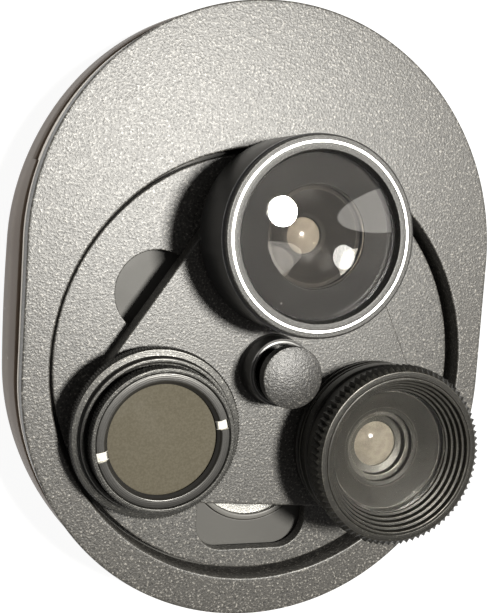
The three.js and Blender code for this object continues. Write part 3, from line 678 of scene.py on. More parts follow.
@dataclass
class Effects:
    """The shader groups, each built once."""

    spark_grain: bpy.types.NodeTree = field(default_factory=spark_grain_and_glints_group)
    edge_wear: bpy.types.NodeTree = field(default_factory=edge_wear_and_highlight_group)
    turned_lines: bpy.types.NodeTree = field(default_factory=turned_lines_group)
    dust: bpy.types.NodeTree = field(default_factory=dust_group)


# ---------------------------------------------------------------- finishes

Colour = tuple[float, float, float]


class Shader:
    """A material being wired: its tree, its Principled shader and the helpers that place groups."""

    def __init__(self, name: str, settings: dict[str, float | Colour]) -> None:
        """Makes the material and sets the shader's plain sockets.

        Args:
            name: The material's name.
            settings: Values for the Principled shader's sockets, by name.
        """
        self.material = bpy.data.materials.new(name)
        self.material.use_nodes = True
        self.tree = self.material.node_tree
        self.principled = self.tree.nodes["Principled BSDF"]
        for socket, value in settings.items():
            whole = (*value, 1.0) if isinstance(value, tuple) else value
            self.principled.inputs[socket].default_value = whole
        self.place = self.tree.nodes.new("ShaderNodeTexCoord").outputs["Object"]

    def group(self, tree: bpy.types.NodeTree, **values: float | Colour) -> bpy.types.Node:
        """Places a shader group, reading Object coordinates, with its own values."""
        node = self.tree.nodes.new("ShaderNodeGroup")
        node.node_tree = tree
        self.tree.links.new(self.place, node.inputs["Vector"])
        for name, value in values.items():
            node.inputs[name.replace("_", " ")].default_value = value
        return node

    def blend(self, share: bpy.types.NodeSocket, below: "Colour | bpy.types.NodeSocket",
              above: "Colour | bpy.types.NodeSocket") -> bpy.types.NodeSocket:
        """A colour that goes from below to above as share goes from 0 to 1."""
        node = self.tree.nodes.new("ShaderNodeMix")
        node.data_type = "RGBA"
        self.tree.links.new(share, node.inputs["Factor"])
        for name, value in (("A", below), ("B", above)):
            socket = [s for s in node.inputs if s.name == name and s.type == "RGBA"][0]
            if isinstance(value, tuple):
                socket.default_value = (*value, 1.0)
            else:
                self.tree.links.new(value, socket)
        return [s for s in node.outputs if s.type == "RGBA"][0]

    def colour(self, socket: bpy.types.NodeSocket) -> None:
        """Sends a colour to Base Color."""
        self.tree.links.new(socket, self.principled.inputs["Base Color"])

    def roughness(self, value: bpy.types.NodeSocket, low: float, high: float) -> None:
        """Sends a value, spread between two roughnesses, to Roughness."""
        node = self.tree.nodes.new("ShaderNodeMapRange")
        node.inputs["To Min"].default_value, node.inputs["To Max"].default_value = low, high
        self.tree.links.new(value, node.inputs["Value"])
        self.tree.links.new(node.outputs[0], self.principled.inputs["Roughness"])

    def bump(self, height: bpy.types.NodeSocket, depth: float) -> None:
        """Sends a height to the surface normal, depth in millimetres; a further call lies under it."""
        node = self.tree.nodes.new("ShaderNodeBump")
        node.inputs["Strength"].default_value = 1.0
        node.inputs["Distance"].default_value = depth * MM
        self.tree.links.new(height, node.inputs["Height"])
        taken = self.principled.inputs["Normal"].links
        if taken:
            self.tree.links.new(taken[0].from_socket, node.inputs["Normal"])
        self.tree.links.new(node.outputs[0], self.principled.inputs["Normal"])


@dataclass(frozen=True)
class GrainedPlastic:
    """Spark-eroded black plastic with painted glints on the crests of its grain and painted shade in its
    pits, rubbed at its edges.
    """

    name: str
    body: Colour = (0.04, 0.038, 0.0343)
    # The colour on the crests is a painted glint and the colour in the pits is painted shade.
    crest_glint: Colour = (0.23, 0.219, 0.199)
    pit_shade: Colour = (0.004, 0.0038, 0.0035)
    worn: Colour = (0.09, 0.087, 0.082)
    grains: float = 3300.0
    depth: float = 0.06
    wear: float = 0.1

    def make(self, effects: Effects) -> bpy.types.Material:
        """Wires the finish: painted shade in the pits and painted glints on the crests, pits and crests in
        roughness and relief, dust specks, and worn edges.
        """
        shader = Shader(self.name, {"Roughness": 0.4, "Specular IOR Level": 0.5})
        grain = shader.group(effects.spark_grain, Grains_per_metre=self.grains)
        wear = shader.group(effects.edge_wear, Amount=self.wear)
        dust = shader.group(effects.dust, Amount=0.2)
        # Painted shade in the pits, then painted glints on the crests.
        colour = shader.blend(grain.outputs["Painted pit shade"], self.body, self.pit_shade)
        colour = shader.blend(grain.outputs["Bright"], colour, self.crest_glint)
        colour = shader.blend(wear.outputs["Mask"], colour, self.worn)
        shader.colour(shader.blend(dust.outputs["Specks"], colour, (0.55, 0.53, 0.5)))
        shader.roughness(grain.outputs["Height"], 0.52, 0.26)
        shader.bump(grain.outputs["Height"], self.depth)
        return shader.material


@dataclass(frozen=True)
class SmoothPlastic:
    """Moulded plastic with a faint texture, a slow change of tone and a little dust."""

    name: str
    base: Colour
    tone: Colour
    roughness: tuple[float, float] = (0.3, 0.45)
    worn: Colour = (0.5, 0.48, 0.45)
    wear: float = 0.3
    dust: float = 0.25
    depth: float = 0.006
    shine: float = 0.5

    def make(self, effects: Effects) -> bpy.types.Material:
        """Wires the finish: cloudy tone, fine skin texture, dust film and worn edges, which on the knob's
        collar are also a painted highlight.
        """
        shader = Shader(self.name, {"Roughness": 0.4, "Specular IOR Level": self.shine})
        grain = shader.group(effects.spark_grain, Grains_per_metre=3800.0)
        wear = shader.group(effects.edge_wear, Amount=self.wear)
        dust = shader.group(effects.dust, Amount=self.dust)
        cloud = ramp(shader.tree, noise_node(shader.tree, shader.place, 60.0, 4.0), 0.35, 0.7)
        colour = shader.blend(cloud, self.base, self.tone)
        colour = shader.blend(wear.outputs["Mask"], colour, self.worn)
        shader.colour(shader.blend(dust.outputs["Specks"], colour, (0.6, 0.58, 0.55)))
        shader.roughness(dust.outputs["Film"], *self.roughness)
        shader.bump(grain.outputs["Height"], self.depth)
        return shader.material


@dataclass(frozen=True)
class BlackMetal:
    """Black anodised aluminium: painted glints for its blasted grain, turned lines and bright rubbed edges,
    which on the retaining ring also carry a painted highlight in its notches.
    """

    name: str
    centre: tuple[float, float]
    body: Colour = (0.03, 0.029, 0.026)
    # The glint colour is a painted glint on the blasted grain's crests.
    spark: Colour = (0.2, 0.195, 0.175)
    worn: Colour = (0.2, 0.195, 0.18)
    grains: float = 4600.0
    glint_strength: float = 1.0
    wear: float = 0.6
    depth: float = 0.03
    roughness: tuple[float, float] = (0.24, 0.42)

    def make(self, effects: Effects) -> bpy.types.Material:
        """Wires the finish: painted glints over black, lathe lines about the lens's own axis, and worn edges.
        """
        shader = Shader(self.name, {"Metallic": 0.55, "Roughness": 0.38, "Coat Weight": 0.15,
                                    "Coat Roughness": 0.3})
        grain = shader.group(effects.spark_grain, Grains_per_metre=self.grains)
        lines = shader.group(effects.turned_lines, Centre=(self.centre[0] * MM, self.centre[1] * MM, 0.0),
                             Lines_per_metre=4200.0)
        wear = shader.group(effects.edge_wear, Amount=self.wear)
        # Painted glints: the grain's crests lightened as if they caught the light.
        glint_mask = math_node(shader.tree, "MULTIPLY", grain.outputs["Bright"], self.glint_strength)
        colour = shader.blend(glint_mask, self.body, self.spark)
        shader.colour(shader.blend(wear.outputs["Mask"], colour, self.worn))
        shader.roughness(grain.outputs["Height"], self.roughness[1], self.roughness[0])
        shader.bump(lines.outputs["Height"], 0.004)
        shader.bump(grain.outputs["Height"], self.depth)
        return shader.material


@dataclass(frozen=True)
class PlainMetal:
    """Bare turned metal with fine lathe lines about an axis."""

    name: str
    base: Colour
    dark: Colour
    centre: tuple[float, float] = (0.0, 0.0)
    roughness: tuple[float, float] = (0.18, 0.36)

    def make(self, effects: Effects) -> bpy.types.Material:
        """Wires the finish: lathe lines in tone, roughness and relief."""
        shader = Shader(self.name, {"Metallic": 1.0, "Roughness": 0.25})
        lines = shader.group(effects.turned_lines, Centre=(self.centre[0] * MM, self.centre[1] * MM, 0.0),
                             Lines_per_metre=7000.0)
        shader.colour(shader.blend(lines.outputs["Mask"], self.base, self.dark))
        shader.roughness(lines.outputs["Mask"], *self.roughness)
        shader.bump(lines.outputs["Height"], 0.002)
        return shader.material


class Clarity(Enum):
    """How much of what lies behind a glass shows through it."""

    CLEAR = 1.0
    VEILED = 0.86
    DEEP = 0.0


@dataclass(frozen=True)
class Glass:
    """Lens or window glass: tinted, with a faint mottle and a trace of wiping marks."""

    name: str
    tint: Colour
    clarity: Clarity = Clarity.CLEAR
    ior: float = 1.5
    roughness: tuple[float, float] = (0.0, 0.05)
    mottle: float = 0.0
    mottle_scale: float = 900.0

    def make(self, effects: Effects) -> bpy.types.Material:
        """Wires the finish: tint with a faint mottle, and wiping marks in the roughness."""
        shader = Shader(self.name, {"IOR": self.ior, "Transmission Weight": self.clarity.value,
                                    "Roughness": 0.02})
        dust = shader.group(effects.dust, Amount=1.0)
        cloud = noise_node(shader.tree, shader.place, self.mottle_scale, 4.0, 0.65)
        patches = ramp(shader.tree, cloud, 0.35, 0.68)
        share = math_node(shader.tree, "MULTIPLY", patches, self.mottle)
        pale = tuple(min(1.0, 1.5 * channel + 0.02) for channel in self.tint)
        shader.colour(shader.blend(share, self.tint, pale))
        shader.roughness(dust.outputs["Film"], *self.roughness)
        return shader.material


# ---------------------------------------------------------------- housing

@dataclass
class Housing:
    """Front cover, rim strip, rear shell, deck, viewing window, pivot and screws."""

    effects: Effects
    cover_edge: float = 0.5
    cover_plate: float = 2.0
    cover_wall: float = 1.4
    recess_clearance: float = 0.65
    strip_wall: float = 1.2
    strip_drop: float = 1.3
    step_angle: float = 17.7
    shell_wall: float = 1.6
    shell_floor: float = 1.8
    foot_inset: float = 2.6
    belly_z: float = 5.0
    deck_inset: float = 1.9
    post_bore: float = 2.6
    boss_wall: float = 1.4
    screw_hole: float = 1.3
    screw_head: float = 2.1
    screw_head_height: float = 0.7
    screw_sink: float = 1.3
    cross_length: float = 2.2
    cross_width: float = 0.55
    cross_depth: float = 0.45
    skirt_depth: float = 3.1
    deck_thickness: float = 1.5
    view_play: float = 0.12
    rear_window_play: float = 0.15
    fit_gap: float = 0.3
    ring_wall: float = 0.75
    ring_shelf: float = 0.9

    def __post_init__(self) -> None:
        """Takes the housing's places from the frame."""
        cover = Place.of("front_cover")
        self.cover = cover
        self.outline = Oblong(cover.radius, float(cover.high[1]) - cover.radius,
                              float(cover.low[1]) + cover.radius, self.step_angle)
        self.recess = Circle(0, 0, Place.of("window_disc").radius + self.recess_clearance, 288)
        self.deck_z1 = Place.of("inner_deck").z1
        self.deck_z0 = self.deck_z1 - self.deck_thickness
        self.screws = {side: Place.of(f"rear_screw_{side}")
                       for side in ("upper_right", "upper_left", "lower_left", "lower_right")}
        self.view = Place.of("viewing_ring")

    def build(self) -> None:
        """Builds and dresses every piece of the housing."""
        self.front_cover()
        self.rim_strip()
        self.rear_shell()
        self.inner_deck()
        self.viewing_window()
        self.rear_screws()
        steel = PlainMetal("pivot_steel", (0.56, 0.55, 0.53), (0.36, 0.35, 0.34)).make(self.effects)
        dress(steel, "pivot_post", "wave_washer")
        baffle = SmoothPlastic("baffle_black", (0.012, 0.012, 0.012), (0.02, 0.02, 0.02),
                               worn=(0.05, 0.05, 0.05))
        dress(baffle.make(self.effects), "light_baffle_tube")

    def front_cover(self) -> None:
        """Chamfered plate with a skirt and a collar round the recess, on two screw bosses."""
        z1 = self.cover.z1
        skirt, under = z1 - self.skirt_depth, z1 - self.cover_plate
        collar_low = self.cover.z0
        wall, edge = self.cover_wall, self.cover_edge
        skin = Skin("front_cover_shell")
        outer = skin.sweep(self.outline, [
            (-wall - 2 * SUPPORT, under, 0), (-wall, under, SUPPORT), (-wall, skirt, 0.15), (0, skirt, 0.15),
            (0, z1, edge), (-edge - SUPPORT, z1, 0)], 6)
        inner = skin.sweep(self.recess, [
            (edge + SUPPORT, z1, 0), (0, z1, 0.32), (0, collar_low, 0.15), (wall, collar_low, 0.15),
            (wall, under, SUPPORT), (wall + 2 * SUPPORT, under, 0)], 5)
        bosses = [self.boss(skin, place, collar_low, under, place.z1 + self.fit_gap)
                  for side, place in self.screws.items() if side.startswith("upper")]
        skin.cap(outer[-1], inner[0])
        skin.cap(outer[0], inner[-1], *bosses)
        finish = GrainedPlastic("cover_grain")
        skin.build(Body.HOUSING, Slot.SPARK_PLASTIC, finish.make(self.effects), "front_cover")

    def boss(self, skin: Skin, place: Place, low: float, under: float, hole_top: float) -> np.ndarray:
        """A screw boss with a blind hole that hangs from a plate.

        Args:
            skin: The piece that it belongs to.
            place: Its screw's place.
            low: Height of the boss's free end.
            under: Height of the plate's underside.
            hole_top: Height of the hole's closed end.

        Returns:
            The boss's border on the plate's underside.
        """
        x, y = place.centre
        wall = self.boss_wall
        hole = Circle(x, y, self.screw_hole, 48)
        rows = skin.sweep(hole, [
            (wall + SUPPORT, under, 0), (wall, under, SUPPORT / 2), (wall, low, 0.1), (0, low, 0.1),
            (0, hole_top, 0.05), (-SUPPORT, hole_top, 0)])
        skin.cap(rows[-1])
        return rows[0]

    def rim_strip(self) -> None:
        """Pale strip that follows the housing's outline, deeper round the upper end."""
        strip = Place.of("rim_strip")
        low = strip.z0 + self.strip_drop
        skin = Skin("rim_strip_band")
        profile, edge = rounded([(-self.strip_wall, low, 0.1), (0, low, 0.18), (0, strip.z1, 0.18),
                                 (-self.strip_wall, strip.z1, 0.1)], 3, True)
        flat = self.outline.at(profile[:, :1], np.zeros((len(profile), 1)))
        lower = profile[:, 1:2] < (low + strip.z1) / 2
        z = profile[:, 1:2] - self.strip_drop * lower * self.outline.upper_mask()[None, :]
        skin.grid(np.concatenate([flat, z[..., None]], -1), edge, True)
        finish = SmoothPlastic("strip_cream", (0.84, 0.78, 0.69), (0.78, 0.71, 0.61), (0.38, 0.5),
                               (0.9, 0.86, 0.8), 0.2)
        skin.build(Body.HOUSING, Slot.RIM_STRIP, finish.make(self.effects), "rim_strip")

    def rear_shell(self) -> None:
        """Bellied shell: a section from the foot over the belly to the lip and down the inside."""
        shell = Place.of("rear_shell")
        top, wall, floor = shell.z1, self.shell_wall, self.shell_floor
        skin = Skin("rear_shell_cup")
        profile, edge = rounded([
            (-self.foot_inset - 2 * SUPPORT, 0, 0, 0), (-self.foot_inset, 0, 0, 0.5), (-0.4, 1.25, 0.42, 0.9),
            (0.5, 3.0, 0.63, 0.8), (0.8, self.belly_z, 0.7, 1.0), (0.6, 8.1, 0.63, 1.4),
            (0.2, top, 0.21, 0.2),
            (-wall, top, 0, 0.15), (-wall, 4.8, 0, 1.5), (-self.foot_inset - wall, floor, 0, 0.8),
            (-self.foot_inset - wall - 1.0, floor, 0, 0)], 7)
        flat = self.outline.at(profile[:, :1], profile[:, 2:3])
        limit = top - self.strip_drop * self.outline.upper_mask()
        z = np.minimum(profile[:, 1:2], limit[None, :])
        points = np.concatenate([flat, z[..., None]], -1)
        skin.grid(points, edge)
        x, y = self.view.centre
        window = Circle(x, y, Place.of("rear_window_glass").radius + self.rear_window_play, 128)
        holes = [skin.sweep(window, [
            (0.3 + SUPPORT, 0, 0), (0, 0, 0.3), (0, floor, 0.1), (0.1 + SUPPORT, floor, 0)])]
        head = self.screw_head + self.fit_gap - self.screw_hole
        for place in self.screws.values():
            hole = Circle(*place.centre, self.screw_hole, 64)
            holes.append(skin.sweep(hole, [
                (head + 0.15 + SUPPORT, 0, 0), (head, 0, 0.15), (head, self.screw_sink, 0),
                (0, self.screw_sink, 0), (0, floor, 0.05), (0.1, floor, 0)]))
        skin.cap(points[0], *[rows[0] for rows in holes])
        skin.cap(points[-1], *[rows[-1] for rows in holes])
        finish = SmoothPlastic("shell_brown", (0.135, 0.098, 0.07), (0.115, 0.083, 0.06), (0.45, 0.6),
                               (0.3, 0.25, 0.2), 0.25, 0.3, shine=0.3)
        skin.build(Body.HOUSING, Slot.REAR_SHELL, finish.make(self.effects), "rear_shell")

    def inner_deck(self) -> None:
        """Pale deck with holes for the pivot and the viewing ring, on four screw posts."""
        z0, z1, wall = self.deck_z0, self.deck_z1, self.boss_wall
        low = self.shell_floor + self.fit_gap
        inset = self.deck_inset
        skin = Skin("inner_deck_plate")
        outer = skin.sweep(self.outline, [
            (-inset - 0.3, z0, 0), (-inset, z0, 0.15), (-inset, z1, 0.2), (-inset - 0.2 - SUPPORT, z1, 0)])
        x, y = self.view.centre
        openings = [Circle(0, 0, self.post_bore, 64), Circle(x, y, self.view.radius + self.view_play, 160)]
        through = [skin.sweep(opening, [
            (0.15 + SUPPORT, z1, 0), (0, z1, 0.15), (0, z0, 0.1), (0.1 + SUPPORT, z0, 0)])
            for opening in openings]
        for place in self.screws.values():
            hole = Circle(*place.centre, self.screw_hole, 48)
            through.append(skin.sweep(hole, [
                (0.1 + SUPPORT, z1, 0), (0, z1, 0.1), (0, low, 0.1), (wall, low, 0.1), (wall, z0, SUPPORT),
                (wall + 2 * SUPPORT, z0, 0)]))
        skin.plate(outer, through)
        finish = SmoothPlastic("deck_grey", (0.062, 0.0605, 0.056), (0.052, 0.0505, 0.047), (0.5, 0.65),
                               (0.2, 0.19, 0.18), dust=0.5, shine=0.3)
        skin.build(Body.HOUSING, Slot.DECK, finish.make(self.effects), "inner_deck")

    def viewing_window(self) -> None:
        """Ring, glass and rear glass of the viewing window."""
        ring, centre = self.view, self.view.centre
        bore = ring.radius - self.ring_wall
        pane, rear = Place.of("viewing_glass"), Place.of("rear_window_glass")
        shelf = pane.z0 - 0.02
        skin = Skin("viewing_ring_band").lathe(centre, [
            (bore - self.ring_shelf, ring.z0, 0.1), (ring.radius, ring.z0, 0.1), (ring.radius, ring.z1, 0.2),
            (bore, ring.z1, 0.2), (bore, shelf, 0.02), (bore - self.ring_shelf, shelf, 0.1)])
        finish = SmoothPlastic("ring_grey", (0.1, 0.098, 0.091), (0.083, 0.081, 0.076), (0.4, 0.55),
                               (0.2, 0.195, 0.18), shine=0.35)
        skin.build(Body.HOUSING, Slot.DECK, finish.make(self.effects), "viewing_ring")
        for name, place, radius, node in (("viewing_pane", pane, bore - 0.02, "viewing_glass"),
                                          ("rear_window_pane", rear, rear.radius, "rear_window_glass")):
            glass = Glass(f"{name}_glass", (0.8, 0.8, 0.78), Clarity.VEILED, 1.48, roughness=(0.02, 0.12))
            skin = Skin(name).lathe(centre, [
                (0, place.z0, 0), (radius - 0.5, place.z0, 0), (radius, place.z0, 0.1),
                (radius, place.z1, 0.3), (radius - 0.6, place.z1, 0), (0, place.z1, 0)], closed=False)
            piece = skin.build(Body.HOUSING, Slot.VIEWING_GLASS, glass.make(self.effects), node)
            piece.visible_shadow = False

    def rear_screws(self) -> None:
        """Four machine screws with cross recesses, heads towards the rear."""
        for side, place in self.screws.items():
            x, y = place.centre
            z0, head_top = place.z0, place.z0 + self.screw_head_height
            shank = self.screw_hole - self.fit_gap - self.screw_head
            skin = Skin(f"screw_{side}")
            rows = skin.sweep(Circle(x, y, self.screw_head, 64), [
                (-0.35 - SUPPORT, z0, 0), (0, z0, 0.35), (0, head_top, 0.1), (shank, head_top, 0),
                (shank, place.z1, 0.2), (shank - 0.3, place.z1, 0)])
            foot = z0 + self.cross_depth
            recess = skin.sweep(Cross(x, y, self.cross_length, self.cross_width), [
                (0.05, z0, 0), (0, z0, 0.04), (-0.06, foot, 0.02), (-0.12, foot, 0)])
            skin.cap(rows[0], recess[0])
            skin.cap(recess[-1])
            skin.cap(rows[-1])
            finish = PlainMetal(f"screw_steel_{side}", (0.5, 0.49, 0.47), (0.3, 0.29, 0.28), (x, y),
                                (0.25, 0.45))
            skin.build(Body.HOUSING, Slot.STEEL, finish.make(self.effects), f"rear_screw_{side}")


def dress(material: bpy.types.Material, *nodes: str) -> None:
    """Gives CAD nodes that stay in view a new material."""
    for node in nodes:
        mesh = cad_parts[node].data
        mesh.materials.clear()
        mesh.materials.append(material)


# ---------------------------------------------------------------- turret

@dataclass
class WindowDisc:
    """The disc in the recess, with its round and its square window."""

    effects: Effects
    reach: float = 18.45
    round_radius: float = 5.75
    round_angle: float = 149.0
    square_side: float = 16.3
    square_corner: float = 4.0
    square_angle: float = 269.3
    bore: float = 2.6
    washer_room: float = 3.9
    washer_depth: float = 0.75

    def build(self) -> None:
        """Plate with softly rounded edges at its rim and windows."""
        disc = Place.of("window_disc")
        z0, z1 = disc.z0, disc.z1
        skin = Skin("window_disc_plate")
        outer = skin.sweep(Circle(0, 0, disc.radius, 288), [
            (-0.2 - SUPPORT, z0, 0), (0, z0, 0.2), (0, z1, 0.4), (-0.4 - SUPPORT, z1, 0)], 5)
        angle = math.radians(self.round_angle)
        square = math.radians(self.square_angle)
        windows = [
            Circle(self.reach * math.cos(angle), self.reach * math.sin(angle), self.round_radius),
            RoundedSquare(self.reach * math.cos(square), self.reach * math.sin(square), self.square_side,
                          self.square_corner, self.square_angle - 270)]
        rows = [skin.sweep(w, [(0.25 + SUPPORT, z1, 0), (0, z1, 0.25), (0, z0, 0.1), (0.1 + SUPPORT, z0, 0)])
                for w in windows]
        rows.append(skin.hub(self.bore, self.washer_room, z0, z1, self.washer_depth))
        skin.plate(outer, rows)
        finish = GrainedPlastic("disc_grain", body=(0.045, 0.0435, 0.04))
        skin.build(Body.DISC, Slot.SPARK_PLASTIC, finish.make(self.effects), "window_disc")


@dataclass
class LensCarrier:
    """The three-cornered carrier, its friction washer and the knob's collar."""

    effects: Effects
    reach: float = 18.45
    corner: float = 9.9
    turn: float = 86.3
    socket: float = 8.0
    bore: float = 2.6
    washer_room: float = 3.9
    washer_depth: float = 1.0
    collar_bore: float = 3.9
    collar_bevel: float = 0.4

    def build(self) -> None:
        """Builds the carrier and the collar, and dresses the washer."""
        place = Place.of("lens_carrier")
        z0, z1 = place.z0, place.z1
        skin = Skin("lens_carrier_plate")
        outer = skin.sweep(RoundedTriangle(self.reach, self.corner, self.turn), [
            (-0.2 - SUPPORT, z0, 0), (0, z0, 0.2), (0, z1, 0.42), (-0.42 - SUPPORT, z1, 0)], 6)
        rows = []
        for node in ("fisheye_barrel", "polariser_base", "macro_base"):
            socket = Circle(*Place.of(node).centre, self.socket, 128)
            rows.append(skin.sweep(socket, [
                (0.2 + SUPPORT, z1, 0), (0, z1, 0.2), (0, z0, 0.1), (0.1 + SUPPORT, z0, 0)]))
        rows.append(skin.hub(self.bore, self.washer_room, z0, z1, self.washer_depth))
        skin.plate(outer, rows)
        grain = GrainedPlastic("carrier_grain", body=(0.043, 0.0415, 0.038)).make(self.effects)
        skin.build(Body.CARRIER, Slot.SPARK_PLASTIC, grain, "lens_carrier")
        collar = Place.of("knob_collar")
        outside = collar.radius
        ring = Skin("knob_collar_ring").lathe(collar.centre, [
            (self.collar_bore, z1 + 0.02, 0.05), (outside + 0.25, z1 + 0.02, 0.05), (outside, z1 + 0.35, 0.3),
            (outside, collar.z1 - 0.1, 0.25), (outside - self.collar_bevel, collar.z1, 0.12),
            (self.collar_bore, collar.z1, 0.12)], 128)
        # The pale worn colour at a high wear amount lightens the collar's rounded rim: painted highlight of
        # the rim catching light, with some rubbing.
        smooth = SmoothPlastic("collar_black", (0.035, 0.034, 0.033), (0.028, 0.028, 0.027), (0.3, 0.42),
                               (0.26, 0.255, 0.25), 0.9)
        ring.build(Body.CARRIER, Slot.SPARK_PLASTIC, smooth.make(self.effects), "knob_collar")
        dress(SmoothPlastic("washer_white", (0.75, 0.74, 0.7), (0.7, 0.69, 0.65)).make(self.effects),
              "friction_washer")


@dataclass
class Knob:
    """The push knob with its stem, spring and clip."""

    effects: Effects
    neck_radius: float = 3.1
    neck_wall: float = 0.7
    head_height: float = 2.18
    crown: float = 0.5
    crown_inset: float = 0.12
    crown_lift: float = 0.04
    ceiling_drop: float = 0.3

    def build(self) -> None:
        """Builds the knob's cap and dresses the pieces inside it."""
        cap = Place.of("knob_cap")
        radius, head_z = cap.radius, cap.z1 - self.head_height
        rim_z, bore = cap.z1 - self.crown, self.neck_radius - self.neck_wall
        ceiling = head_z - self.ceiling_drop
        skin = Skin("push_knob").lathe(cap.centre, [
            (0, ceiling, 0), (bore, ceiling, 0.2), (bore, cap.z0, 0.1), (self.neck_radius, cap.z0, 0.1),
            (self.neck_radius, head_z, 0.2), (radius, head_z, 0.3), (radius, rim_z, 0.45),
            *dome(radius - self.crown_inset, rim_z + self.crown_lift, self.crown - self.crown_lift, 16)],
            128, 6, closed=False)
        # The colour on the crests of the knob's grain is a painted glint.
        finish = GrainedPlastic("knob_grain", body=(0.02, 0.0192, 0.0176),
                               crest_glint=(0.12, 0.114, 0.104), depth=0.085)
        skin.build(Body.KNOB, Slot.SPARK_PLASTIC, finish.make(self.effects), "knob_cap")
        steel = PlainMetal("stem_steel", (0.6, 0.6, 0.58), (0.4, 0.4, 0.38)).make(self.effects)
        dress(steel, "knob_stem", "knob_spring", "stem_clip")


# ---------------------------------------------------------------- lenses

